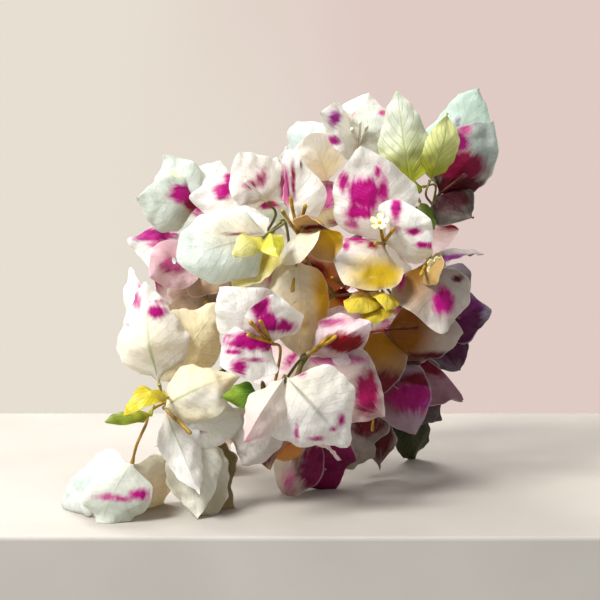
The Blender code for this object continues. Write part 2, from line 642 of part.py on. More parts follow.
def place_tubes(neighbours):
    """Each bloom's tubes, bent clear of the other nodes."""
    placed = {}
    for name, bloom in BLOOMS.items():
        foot = Vector(bloom.hub)
        placed[name] = []
        for index, bract in enumerate(bloom.bracts[:bloom.tubes]):
            star = index in bloom.stars

            def solid_at(bend, extra):
                way = tube_way(bloom.opens, bract, foot, bend)
                return tube_solid(foot + way * 0.06, way, extra / 2, star)

            bend = bend_clear(neighbours, name, f"tube {index}", solid_at)
            solid = solid_at(bend, 0)
            neighbours.add(name, *solid)
            placed[name].append(solid)
    return placed


def place_blade(neighbours, name, what, foot, blade):
    foot = Vector(foot)

    def solid_at(bend, extra):
        return thick_blade(blade_sheet(foot, blade, bend), BLADE + extra)

    bend = bend_clear(neighbours, name, what, solid_at, SHEET.outer)
    points, faces = solid_at(bend, 0)
    neighbours.add(name, points, faces)
    neighbours.add_outer(name, points, [faces[i] for i in SHEET.outer])
    return blade_sheet(foot, blade, bend)


def make_bloom(name, bloom, tubes, sheets, home):
    parts = working_collection(name + " parts")
    for index, (points, faces) in enumerate(tubes):
        solid_object(f"tube {index}", points, faces, parts)
    for index, points in enumerate(sheets):
        blade_object(f"bract {index}", points, parts)
    knot = knot_object("knot", Vector(bloom.hub), KNOT, bpy.context.scene.collection)
    return union(name, knot, parts, "bract", home)


def make_leaf(name, leaf, sheet, home):
    parts = working_collection(name + " parts")
    blade_object("blade", sheet, parts)
    knot = knot_object("knot", Vector(leaf.base), LEAF_KNOT, bpy.context.scene.collection)
    return union(name, knot, parts, leaf.colour, home)


def main():
    clear_scene()
    home = working_collection("bougainvillea spray")
    neighbours = Neighbours()
    make_branch(neighbours, home)
    place_knots(neighbours)
    tubes = place_tubes(neighbours)
    leaf_sheets = {name: place_blade(neighbours, name, "blade", leaf.base, leaf)
                   for name, leaf in LEAVES.items()}
    bract_sheets = {name: [place_blade(neighbours, name, f"bract {index}", bloom.hub, bract)
                           for index, bract in enumerate(bloom.bracts)]
                    for name, bloom in BLOOMS.items()}
    for name, bloom in BLOOMS.items():
        make_bloom(name, bloom, tubes[name], bract_sheets[name], home)
    for name, leaf in LEAVES.items():
        make_leaf(name, leaf, leaf_sheets[name], home)


if __name__ == "__main__":
    main()
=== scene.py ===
"""Looks for the bougainvillea spray: fine papery bracts, flower tubes, veined leaves and young bark.

Each fine piece follows the same curve as the solid that it stands for, and takes the place
of that solid. Lengths are millimetres in the design frame, X to the right, Y away, Z up; the
middle of the footprint is taken off at the end. Only the stage is given in metres.
"""

import json
import math
import random
from collections import namedtuple

import bpy
from mathutils import Matrix, Vector, kdtree, noise

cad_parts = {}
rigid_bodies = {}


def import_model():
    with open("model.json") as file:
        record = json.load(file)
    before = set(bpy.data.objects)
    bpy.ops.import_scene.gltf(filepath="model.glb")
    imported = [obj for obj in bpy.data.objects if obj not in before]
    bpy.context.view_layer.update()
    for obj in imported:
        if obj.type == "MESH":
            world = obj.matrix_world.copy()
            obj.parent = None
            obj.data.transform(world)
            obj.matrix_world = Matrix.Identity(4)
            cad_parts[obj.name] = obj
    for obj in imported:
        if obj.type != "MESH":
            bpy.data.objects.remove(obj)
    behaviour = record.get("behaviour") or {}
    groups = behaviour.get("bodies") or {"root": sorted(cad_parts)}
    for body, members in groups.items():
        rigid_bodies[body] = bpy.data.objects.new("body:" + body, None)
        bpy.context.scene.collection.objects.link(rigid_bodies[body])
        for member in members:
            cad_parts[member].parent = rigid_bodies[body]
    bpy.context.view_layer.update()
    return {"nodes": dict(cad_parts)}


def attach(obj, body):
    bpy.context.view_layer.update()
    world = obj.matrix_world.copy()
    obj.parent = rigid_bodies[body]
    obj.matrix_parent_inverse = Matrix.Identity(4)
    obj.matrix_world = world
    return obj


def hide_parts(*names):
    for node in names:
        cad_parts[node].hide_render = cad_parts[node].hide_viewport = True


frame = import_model()

MM = 0.001
FOOTPRINT_CENTRE = Vector((2.9, 14.8, 0))

# Real sizes of the fine pieces
BRACT_THICKNESS = 0.22
LEAF_THICKNESS = 0.32
TUBE_LENGTH = 16.0
STAR_RADIUS = 4.6
STAR_THICKNESS = 0.3
STALK_RADIUS = 0.6
STALK_CURVE = 4  # how far behind a knot its stalk starts to turn towards the twig
KNOT = 1.7  # radius of the knot that joins a bloom's bracts
LEAF_KNOT = 1.0
REST_HEIGHT = 0.17  # middle surface of a bract where it lies on the ground

# Outline and ripple of a blade, as in the solids
CLAW = 0.2  # the narrow foot
SHOULDER = 0.85  # below 1 the widest place lies nearer the foot
FULLNESS = 0.78  # below 1 the sides are rounder
RIPPLES = 1.2  # waves along each margin
RIPPLE_SHIFT = 0.15  # how far one margin's waves run ahead of the other's
TUBE_LEAN = 0.45  # share by which a tube leans out over its own bract
TUBE_END = 1.06  # where the mouth of a tube stands, as a share of its length

# What only the fine blades have
TIP_REACH = 0.06  # how much farther the point is drawn out, as a share of the blade's length
MARGIN_CHANGE = 0.16  # how much the half width comes and goes, as a share
MARGIN_WAVES = 3.2  # how often it does so from foot to tip
SLOW_FOLDS, QUICK_FOLDS = 11, 4.2  # width of the slow folds and of the quick ones
SLOW_LIFT, QUICK_LIFT = 1.7, 0.6  # how high they stand on the blade
SLOW_EDGE, QUICK_EDGE = 2.0, 0.9  # how much higher at its edge

Form = namedtuple("Form", "arch cup fold wave")
FORMS = {
    "open": Form(arch=0.10, cup=22, fold=5, wave=0.05),
    "dome": Form(arch=0.17, cup=45, fold=3, wave=0.03),
    "bowl": Form(arch=-0.12, cup=-42, fold=0, wave=0.04),
    "folded": Form(arch=0.08, cup=20, fold=38, wave=0.03),
    "hook": Form(arch=0.42, cup=25, fold=5, wave=0.02),
}

Bract = namedtuple("Bract", "tip width face form", defaults=["open"])
Bloom = namedtuple("Bloom", "hub opens bracts stars via tubes", defaults=[(), (), 1])
Leaf = namedtuple("Leaf", "base tip width face form colour via", defaults=[()])


def whorl(hub, opens, roll, length=34, width=30, spread=58):
    """A bloom of three equal bracts round the way that it opens."""
    axis = Vector(opens).normalized()
    across = axis.orthogonal().normalized()
    bracts = []
    for k in range(3):
        turned = Matrix.Rotation(math.radians(roll + 120 * k), 3, axis) @ across
        lean = math.radians(spread)
        way = axis * math.cos(lean) + turned * math.sin(lean)
        bracts.append(Bract(tuple(Vector(hub) + way * length), width, opens))
    return Bloom(hub, opens, bracts)


# The front blooms come first
BLOOMS = {
    "bloom_lantern": Bloom((3, -52, 61), (0.3, 0.6, -0.7), [
        Bract((26, -42, 33), 42, (0.15, -1, 0.05), "dome"),
        Bract((-8, -56, 33), 22, (-0.2, -1, 0.1), "folded"),
        Bract((12, -26, 14), 22, (-0.9, -0.4, 0)),
    ], via=[(-5, -34, 50), (-2, -47, 53)]),
    "bloom_magenta": Bloom((46, -10, 114), (-0.1, -1, 0.3), [
        Bract((36, -18, 154), 38, (-0.1, -1, 0.15)),
        Bract((67, -22, 127), 34, (0.3, -1, 0.1)),
        Bract((29, -29, 98), 35, (-0.1, -0.95, 0.35)),
    ], stars=[0], tubes=3),
    "bloom_heart": Bloom((-3, -32, 72), (-0.4, -0.8, 0.5), [
        Bract((-24, -36, 95), 32, (-0.3, -1, 0)),
        Bract((-2, -44, 93), 26, (0.1, -0.9, 0.3)),
        Bract((-26, -48, 66), 28, (0, -0.9, 0.5)),
    ], tubes=3),
    "bloom_pillow": Bloom((-4, -18, 118), (-0.7, -0.4, -0.5), [
        Bract((-43, -34, 108), 37, (-0.1, -1, 0.15), "dome"),
        Bract((-17, -38, 102), 26, (0.05, -0.9, 0.3), "bowl"),
        Bract((-34, 2, 124), 28, (-0.2, -0.6, 0.8)),
    ]),
    "bloom_right": Bloom((66, -8, 107), (-0.2, -1, -0.3), [
        Bract((65, -24, 77), 34, (0.1, -1, -0.1)),
        Bract((54, -30, 92), 20, (-0.8, -0.6, 0)),
        Bract((88, -18, 110), 26, (0, -0.2, 1)),
    ], stars=[0], tubes=3),
    "bloom_ledge": Bloom((-48, -43, 46), (0.3, -0.6, -0.7), [
        Bract((-18, -40, 59), 30, (-0.1, -0.9, 0.4), "dome"),
        Bract((-15, -46, 36), 27, (0, -0.95, 0.15)),
        Bract((-33, -58, 15), 22, (0.1, -1, 0.1), "folded"),
    ], via=[(-46, -30, 48)]),
    "bloom_cream": Bloom((8, -18, 108), (-0.2, -0.6, -0.7), [
        Bract((10, -38, 73), 30, (0.15, -1, 0.1), "dome"),
        Bract((-12, -34, 93), 28, (-0.2, -0.95, 0.2)),
        Bract((-12, 0, 88), 26, (-0.3, -0.9, 0.1)),
    ]),
    "bloom_upright": Bloom((8, -16, 118), (-0.2, -0.5, 0.9), [
        Bract((3, -18, 154), 28, (-0.6, -0.8, 0), "folded"),
        Bract((30, -28, 114), 30, (0.1, -0.8, -0.6), "bowl"),
        Bract((-4, -32, 110), 24, (-0.15, -0.6, -0.8), "bowl"),
    ], via=[(24, -6, 90), (14, -8, 103)], tubes=3),
    "bloom_blush": Bloom((12, -28, 66), (0.5, -0.7, 0.5), [
        Bract((32, -38, 88), 24, (0.1, -0.95, 0.3), "folded"),
        Bract((43, -14, 80), 28, (0.2, -0.7, 0.6)),
        Bract((43, -20, 40), 36, (0.3, -0.95, 0)),
    ], tubes=2),
    "bloom_hanging": Bloom((-52, -28, 54), (-0.1, 0.7, 0.7), [
        Bract((-57, -26, 95), 34, (-0.15, -1, 0.1), "dome"),
        Bract((-27, -16, 86), 36, (0.15, -1, 0.05), "dome"),
        Bract((-62, 0, 100), 28, (-0.7, -0.7, 0)),
    ], via=[(-50, -22, 46)]),
    "bloom_shore": Bloom((-61, -48, 24), (-0.4, -0.4, -0.8), [
        Bract((-94, -28, -1), 30, (-0.4, -0.7, 0.6), "dome"),
        Bract((-74, -54, -1), 32, (-0.1, -1, 0.25), "dome"),
        Bract((-52, -24, -1), 28, (0.3, -0.9, 0.2), "dome"),
    ], via=[(-54, -34, 44), (-55, -50, 40), (-58, -55, 33)]),
    "bloom_slipper": Bloom((-38, -32, 34), (0, -0.5, -0.9), [
        Bract((-51, -50, 5), 28, (-0.3, -0.9, 0.2), "dome"),
        Bract((-35, -48, -1), 30, (0, -1, 0.15), "dome"),
        Bract((-18, -42, 0), 28, (0.4, -0.9, 0.1), "dome"),
    ]),
    "bloom_tip": Bloom((73, 18, 135), (0.5, -0.3, 0.9), [
        Bract((93, 34, 184), 34, (-0.25, -1, 0.15)),
        Bract((86, 16, 173), 33, (0.2, -1, -0.1)),
        Bract((85, 4, 124), 28, (0.4, -0.9, -0.2), "dome"),
    ], tubes=3),
    "bloom_crown": Bloom((37, 34, 158), (-0.1, -1, 0.5), [
        Bract((20, 10, 172), 28, (-0.2, -0.85, 0.5)),
        Bract((41, 26, 181), 28, (0, -0.95, 0.3)),
        Bract((57, 22, 173), 28, (0.3, -0.9, 0.3)),
    ], tubes=3),
    "bloom_veil": Bloom((22, 40, 142), (-0.3, -0.8, 0.6), [
        Bract((8, 46, 170), 34, (-0.4, -0.9, 0.1)),
        Bract((14, 12, 162), 38, (-0.1, -0.9, 0.3), "dome"),
        Bract((20, 10, 129), 28, (0, -1, 0.2)),
    ]),
    "bloom_west": Bloom((-38, 12, 130), (-0.5, -0.8, 0.4), [
        Bract((-53, 12, 152), 24, (-0.1, -1, 0.2)),
        Bract((-63, -4, 133), 30, (-0.2, -0.95, 0.1), "dome"),
        Bract((-28, 16, 150), 26, (0.2, -0.9, 0.3)),
    ], stars=[0]),
    "bloom_stripe": Bloom((-6, 10, 132), (-0.4, -0.6, 0.7), [
        Bract((-32, -10, 138), 30, (-0.1, -0.95, 0.25)),
        Bract((-19, 8, 153), 28, (0.1, -0.9, 0.4)),
        Bract((2, 14, 155), 28, (0.2, -1, 0.1)),
    ]),
    "bloom_pink": Bloom((-40, 4, 108), (-0.8, -0.4, -0.4), [
        Bract((-64, -6, 118), 25, (-0.1, -0.8, 0.6)),
        Bract((-58, -14, 98), 26, (-0.2, -1, 0)),
        Bract((-22, 0, 94), 30, (0, -1, -0.1)),
    ]),
    "bloom_fold": Bloom((-7, -32, 47), (0, 0.3, -1), [
        Bract((-16, -48, 26), 32, (-0.1, -1, 0.1), "dome"),
        Bract((-4, -22, 16), 24, (0.1, -0.9, 0.4)),
        Bract((4, -8, 20), 26, (0.1, -1, 0.1)),
    ]),
    "bloom_foot": Bloom((15, -10, 30), (0.2, 0.1, -1), [
        Bract((22, 2, -1), 34, (0.1, -1, 0.1)),
        Bract((4, -4, -1), 26, (-0.4, -0.9, 0.1)),
        Bract((42, 14, 13), 28, (0.2, -1, 0.1)),
    ]),
    "bloom_glow": Bloom((48, 8, 73), (0.8, -0.6, 0.2), [
        Bract((80, -4, 72), 34, (0.1, -1, -0.15), "dome"),
        Bract((76, 26, 62), 28, (0.2, -0.5, -0.8)),
        Bract((38, 0, 44), 32, (0.1, -1, 0)),
    ]),
    "bloom_wine": Bloom((50, 14, 58), (0.7, -0.7, 0.1), [
        Bract((87, 6, 51), 28, (0.1, -0.7, 0.7), "bowl"),
        Bract((75, 4, 36), 32, (0, -1, -0.1)),
        Bract((88, 34, 27), 34, (0.3, -0.9, -0.2)),
    ]),
    "bloom_dusk": Bloom((72, 42, 74), (0.7, -0.6, 0.1), [
        Bract((99, 30, 80), 30, (0.4, -0.9, 0)),
        Bract((88, 44, 50), 30, (0.3, -0.9, -0.2)),
        Bract((88, 46, 100), 30, (0.4, -0.8, 0.3)),
    ]),
    "bloom_garnet": Bloom((45, 20, 41), (-0.2, -0.6, -0.8), [
        Bract((48, 32, 8), 21, (-0.1, -1, 0), "folded"),
        Bract((31, 8, 19), 26, (-0.2, -0.9, 0.2)),
        Bract((34, 46, 16), 26, (-0.6, -0.8, 0)),
    ]),
    "bloom_ember": Bloom((30, 26, 92), (-0.2, -1, 0.2), [
        Bract((8, 8, 108), 30, (-0.2, -0.9, 0.3)),
        Bract((42, 6, 110), 28, (0.2, -0.9, 0.3)),
        Bract((27, 6, 66), 32, (0, -1, -0.2)),
    ]),
    "bloom_shade": Bloom((-28, 20, 76), (-0.3, -0.9, 0.3), [
        Bract((-40, 18, 110), 38, (0, -1, 0.1)),
        Bract((-58, 8, 78), 30, (-0.1, -1, 0)),
        Bract((-10, 18, 104), 30, (0.2, -1, 0)),
    ]),
    "bloom_back_1": whorl((-32, 44, 118), (-0.5, 0.7, 0.4), 20),
    "bloom_back_2": whorl((12, 58, 128), (0, 0.8, 0.6), 70),
    "bloom_back_3": whorl((52, 52, 112), (0.5, 0.8, 0.4), 40),
    "bloom_back_4": whorl((-48, 44, 78), (-0.8, 0.6, 0), 10),
    "bloom_back_5": whorl((-8, 66, 88), (-0.2, 1, 0.1), 95),
    "bloom_back_6": whorl((40, 66, 74), (0.4, 1, -0.1), 50),
    "bloom_back_7": Bloom((-36, 38, 30), (-0.6, 0.5, -0.6), [
        Bract((-62, 44, 12), 30, (-0.5, 0.4, 0.8)),
        Bract((-38, 58, -1), 30, (-0.3, 0.9, 0.3)),
        Bract((-30, 26, -1), 28, (-0.8, -0.5, 0.2)),
    ]),
    "bloom_back_8": whorl((8, 58, 44), (0, 0.9, -0.4), 30),
}

LEAVES = {
    "leaf_lime": Leaf((68, 5, 142), (75, -2, 170), 17, (0.3, -0.95, 0.1), "open", "lime"),
    "leaf_pale": Leaf((60, 12, 138), (54, 14, 180), 25, (-0.1, -1, 0.1), "open", "pale"),
    "leaf_calyx": Leaf((65, 5, 139), (54, -2, 138), 9, (0, -0.8, 0.6), "open", "lime"),
    "leaf_drop": Leaf((64, 10, 132), (69, 4, 120), 9, (0.1, -1, 0.2), "open", "green"),
    "leaf_gold": Leaf((40, -14, 91), (30, -36, 86), 16, (-0.2, -0.9, 0.4), "open", "yellow"),
    "leaf_amber": Leaf((46, -10, 92), (46, -35, 88), 15, (0.1, -0.95, 0.2), "open", "yellow"),
    "leaf_straw": Leaf((51, -12, 86), (35, -34, 80), 11, (0, -0.6, 0.8), "open", "yellow"),
    "leaf_primrose": Leaf((-7, -29, 117), (-18, -48, 110), 11, (0, -0.95, 0.3), "open", "yellow",
                          via=[(0, -22, 123)]),
    "leaf_sprig": Leaf((-4, -31, 119), (0, -46, 108), 10, (0.1, -1, 0.1), "folded", "lime",
                       via=[(2, -24, 123)]),
    "leaf_jade": Leaf((-8, -42, 51), (-23, -49, 52), 13, (0, -0.85, 0.5), "dome", "green"),
    "leaf_arc": Leaf((-46, -47, 51), (-61, -58, 46), 10, (-0.2, -0.8, 0.6), "hook", "yellow",
                     via=[(-49, -37, 52)]),
    "leaf_green_tip": Leaf((-53, -48, 44), (-69, -60, 43), 8, (0, -0.7, 0.7), "open", "green",
                           via=[(-53, -38, 46)]),
    "leaf_moss": Leaf((61, 46, 34), (68, 64, -1), 22, (0.2, -1, 0.1), "open", "dark"),
}

# The wooden frame of the spray: each twig's points, its radius at the foot and at the tip
TWIGS = [
    ([(26, 92, 48), (22, 62, 66), (12, 28, 82), (26, 24, 108), (48, 24, 122), (62, 20, 130)],
     2.0, 1.1),
    ([(12, 28, 82), (-4, 22, 104), (-18, 20, 118)], 1.5, 0.9),
    ([(12, 28, 82), (2, 8, 84), (6, 0, 88)], 1.4, 0.9),
    ([(12, 28, 82), (-8, 16, 68), (-27, -2, 55), (-43, -20, 47)], 1.5, 0.9),
    ([(12, 28, 82), (10, 18, 58), (4, 2, 46), (-4, -24, 44)], 1.5, 0.9),
    ([(12, 28, 82), (30, 26, 66), (40, 26, 52)], 1.4, 0.9),
    ([(22, 62, 66), (30, 50, 88), (44, 40, 100)], 1.4, 0.9),
    ([(22, 62, 66), (-2, 50, 84), (-22, 38, 100)], 1.4, 0.9),
    ([(12, 28, 82), (-10, 34, 60), (-26, 34, 42)], 1.4, 0.9),
]


def outline(v):
    """Half width along a blade as a share of the widest: a narrow claw, a round base, a pointed tip."""
    if not 0 < v < 1:
        return 0.0
    claw = min(v / CLAW, 1)
    return math.sin(math.pi * v ** SHOULDER) ** FULLNESS * claw * claw * (3 - 2 * claw)


def blade_point(u, v, foot, blade, bend):
    """A point of the middle surface: u runs from side to side, v from foot to tip."""
    tilt, turn, size = bend
    form = FORMS[blade.form]
    way = Vector(blade.tip) - foot
    face = Vector(blade.face)
    face = (face - way * face.dot(way) / way.length_squared).normalized()
    side = way.cross(face).normalized()
    bent = Matrix.Rotation(math.radians(turn), 3, face) @ Matrix.Rotation(math.radians(tilt), 3, side)
    way, face, side = bent @ way * size, bent @ face, bent @ side
    half = blade.width / 2 * size * outline(v)
    cup = math.radians(form.cup) or 1e-6
    across = half * math.sin(cup * u) / cup
    back = half * (1 - math.cos(cup * u)) / cup + abs(across) * math.sin(math.radians(form.fold))
    wave = math.sin(math.tau * (RIPPLES * v + RIPPLE_SHIFT * math.copysign(1, u)))
    ripple = form.wave * blade.width * outline(v) * u * u * wave
    rise = form.arch * way.length * math.sin(math.pi * v)
    flat = math.cos(math.radians(form.fold))
    return foot + way * v + side * across * flat + face * (rise - back + ripple)


# How a solid's bend is found again: what a change costs, and how near (in mm) is near enough
TURN_COST = 1.4
SHRINK_COST = 130
SOLID_ROWS = (0.688, 0.406)  # two rows of the solid's corners, from its foot
CORNER_FAR = 3  # a corner farther off than this counts as this far
BLADE_FITS = 0.5
TUBE_FITS = 0.3
TUBE_REACH, STAR_REACH = 1.6, 5.4  # the corners of a tube's mouth, or of its star, lie within this
NO_TUBE = 5.0  # what counts where hardly any corner does


def bends():
    """Every tilt, turn and size that a blade may have, the least change first."""
    tilts = [0, 8, -8, 16, -16, 24, -24, 32, -32, 42, -42]
    turns = [0, 8, -8, 16, -16, 26, -26]
    sizes = [1.0, 0.9, 0.8]
    every = [(tilt, turn, size) for tilt in tilts for turn in turns for size in sizes]
    return sorted(every, key=lambda b: abs(b[0]) + TURN_COST * abs(b[1]) + SHRINK_COST * (1 - b[2]))


BENDS = bends()


def corners_of(node):
    """A search tree of a solid's corners, in millimetres of the design frame."""
    mesh = frame["nodes"][node].data
    tree = kdtree.KDTree(len(mesh.vertices))
    for index, corner in enumerate(mesh.vertices):
        tree.insert(corner.co / MM + FOOTPRINT_CENTRE, index)
    tree.balance()
    return tree


def best_bend(misfit, good_enough):
    """The first bend that fits the solid well, or else the one that fits best."""
    best, least = BENDS[0], 1e9
    for bend in BENDS:
        off = misfit(bend)
        if off < least:
            best, least = bend, off
        if off < good_enough:
            break
    return best


def bend_of_blade(tree, foot, blade):
    places = [(0, 1)] + [(u, v) for v in SOLID_ROWS for u in (-1, 1, 0)]

    def misfit(bend):
        points = [blade_point(u, v, foot, blade, bend) for u, v in places]
        return sum(min(tree.find(point)[2], CORNER_FAR) for point in points) / len(points)

    return best_bend(misfit, BLADE_FITS)


def tube_way(opens, bract, foot, bend):
    """A tube stands along the way the bloom opens, leaning out over its own bract."""
    tilt, turn, size = bend
    axis = Vector(opens).normalized()
    out = (Vector(bract.tip) - foot).normalized()
    way = (axis + out * TUBE_LEAN).normalized()
    side = way.orthogonal().normalized()
    tilted = Matrix.Rotation(math.radians(tilt), 3, side)
    bent = Matrix.Rotation(math.radians(turn), 3, way.cross(side)) @ tilted
    return bent @ way * TUBE_LENGTH * size


def bend_of_tube(tree, foot, opens, bract, star):
    def misfit(bend):
        end = foot + tube_way(opens, bract, foot, bend) * TUBE_END
        near = [corner for corner, _, _ in tree.find_range(end, STAR_REACH if star else TUBE_REACH)]
        if len(near) < 4:
            return NO_TUBE
        return (sum(near, Vector()) / len(near) - end).length

    return best_bend(misfit, TUBE_FITS)


def deselect_all():
    for other in bpy.context.view_layer.objects:
        other.select_set(False)


def select_only(obj):
    deselect_all()
    obj.select_set(True)
    bpy.context.view_layer.objects.active = obj


def apply_modifier(obj, kind, **settings):
    select_only(obj)
    modifier = obj.modifiers.new(kind.title(), kind)
    for name, value in settings.items():
        setattr(modifier, name, value)
    bpy.ops.object.modifier_apply(modifier=modifier.name)


def merge_doubles(obj):
    """Merges the corners that lie on one another."""
    select_only(obj)
    bpy.ops.object.mode_set(mode="EDIT")
    bpy.ops.mesh.select_all(action="SELECT")
    bpy.ops.mesh.remove_doubles(threshold=1e-6)
    bpy.ops.object.mode_set(mode="OBJECT")


def smooth(obj, degrees):
    """Smooth shading, with edges sharper than the angle kept."""
    select_only(obj)
    bpy.ops.object.shade_smooth_by_angle(angle=math.radians(degrees))


def give_finish(obj, finish):
    obj.data.materials.clear()
    obj.data.materials.append(finish)


def joined(name, pieces):
    """One object from several, kept at the origin."""
    select_only(pieces[0])
    for piece in pieces[1:]:
        piece.select_set(True)
    bpy.ops.object.join()
    pieces[0].name = name
    pieces[0].data.name = name
    return pieces[0]


def copy_of(shape, name):
    """A copy with its own mesh."""
    copy = shape.copy()
    copy.data = shape.data.copy()
    copy.name = name
    bpy.context.scene.collection.objects.link(copy)
    return copy


def linear(hex_colour):
    """An sRGB hex colour as linear values."""
    parts = [int(hex_colour[i:i + 2], 16) / 255 for i in (1, 3, 5)]
    return [c / 12.92 if c <= 0.04045 else ((c + 0.055) / 1.055) ** 2.4 for c in parts] + [1.0]


def with_share(hex_colour, share):
    """A colour as linear values, with a share in place of its alpha."""
    return (*linear(hex_colour)[:3], share)


OLIVE_BARK = "#6E6A2C"
STALK_BARK = {
    "bloom_shore": "#B98A22",
    "bloom_hanging": "#A9A54A",
    "bloom_heart": "#A8842C",
    "bloom_ember": "#A33A14",
    "bloom_glow": "#B04A16",
    "leaf_arc": "#B7A32A",
    "leaf_green_tip": "#8FA12C",
}

# The plant's colours, and SHADOW, a painted shade laid over bracts that lie in shade
WHITE, MINT, CREAM, PINKISH = "#F8F8F7", "#E9F1EE", "#F3ECD6", "#F3E4E8"
TAN, GREY, BLUSH, SHADOW = "#D8C09C", "#D6D1CC", "#E3B7BF", "#8F7F78"
MAGENTA, CRIMSON, WINE, PURPLE = "#CA048E", "#A81440", "#700C34", "#7C2272"
ROSE, GOLD, ORANGE = "#D2649E", "#DDB224", "#CC6A18"
LIME, OLIVE = "#A9B83A", "#7B7A30"
VEIN_BROWN = "#A79C80"
DRY_WARMTH = "#FFFAEC"  # what dry tissue takes from the light that passes through it


def feed(tree, node, inputs):
    """Sets a node's inputs, each to a plain value, a socket, or the first output in use of another node."""
    for key, value in inputs.items():
        if isinstance(value, bpy.types.Node):
            value = next(output for output in value.outputs if output.enabled)
        if isinstance(value, bpy.types.NodeSocket):
            tree.links.new(value, node.inputs[key])
        else:
            node.inputs[key].default_value = value


def add_node(tree, kind, inputs=None, **settings):
    """Adds a shader node with its settings and its inputs."""
    made = tree.nodes.new("ShaderNode" + kind)
    for name, value in settings.items():
        setattr(made, name, value)
    feed(tree, made, inputs or {})
    return made


def new_finish(name):
    """A material, its node tree and its shader."""
    finish = bpy.data.materials.new(name)
    finish.use_nodes = True
    return finish, finish.node_tree, finish.node_tree.nodes["Principled BSDF"]


def coats(tree, ground, over):
    """A ground colour with coats over it, each a share and its colour."""
    colour = ground
    for share, coat in over:
        colour = add_node(tree, "Mix", {"Factor": share, "A": colour, "B": coat}, data_type="RGBA")
    return colour


def clouded(tree, where, first_hex, second_hex, **noise_inputs):
    """A colour that drifts from one shade to another and back."""
    cloud = add_node(tree, "TexNoise", {"Vector": where, **noise_inputs})
    share = add_node(tree, "MapRange", {"Value": cloud, "From Min": 0.35, "From Max": 0.65})
    return coats(tree, linear(first_hex), [(share, linear(second_hex))])


def blade_reading(tree, layers):
    """What a blade's finish reads: its own map, the way along it, the way aside and its painted layers."""
    blade = add_node(tree, "UVMap", uv_map="blade")
    place = add_node(tree, "SeparateXYZ", {"Vector": blade})
    off_middle = add_node(tree, "Math", {0: place.outputs["X"], 1: 0.5}, operation="SUBTRACT")
    aside = add_node(tree, "Math", {0: off_middle}, operation="ABSOLUTE")
    paint = {name: add_node(tree, "Attribute", attribute_name=name).outputs for name in layers}
    return blade, place.outputs["Y"], aside, paint


def veins_of(tree, along, aside, uneven, wander, slant, rows, width, rib):
    """The midrib, and side veins that leave it in rows and slant towards the tip."""
    slanted = add_node(tree, "Math", {0: aside, 1: -slant, 2: along}, operation="MULTIPLY_ADD")
    wavy = add_node(tree, "Math", {0: uneven, 1: wander, 2: slanted}, operation="MULTIPLY_ADD")
    counted = add_node(tree, "Math", {0: wavy, 1: rows}, operation="MULTIPLY")
    within = add_node(tree, "Math", {0: counted}, operation="FRACT")
    centred = add_node(tree, "Math", {0: within, 1: 0.5}, operation="SUBTRACT")
    off_vein = add_node(tree, "Math", {0: centred}, operation="ABSOLUTE")
    lines = [add_node(tree, "MapRange",
                      {"Value": off, "From Min": 0.0, "From Max": edge, "To Min": 1, "To Max": 0},
                      interpolation_type="SMOOTHSTEP")
             for off, edge in ((off_vein, width), (aside, rib))]
    return add_node(tree, "Math", dict(enumerate(lines)), operation="MAXIMUM")


def light_through(tree, shader, colour, relief, share):
    """Lets a share of the light pass through thin tissue."""
    through = add_node(tree, "BsdfTranslucent", {"Color": colour, "Normal": relief})
    tissue = add_node(tree, "MixShader", {0: share, 1: shader, 2: through})
    feed(tree, tree.nodes["Material Output"], {"Surface": tissue})


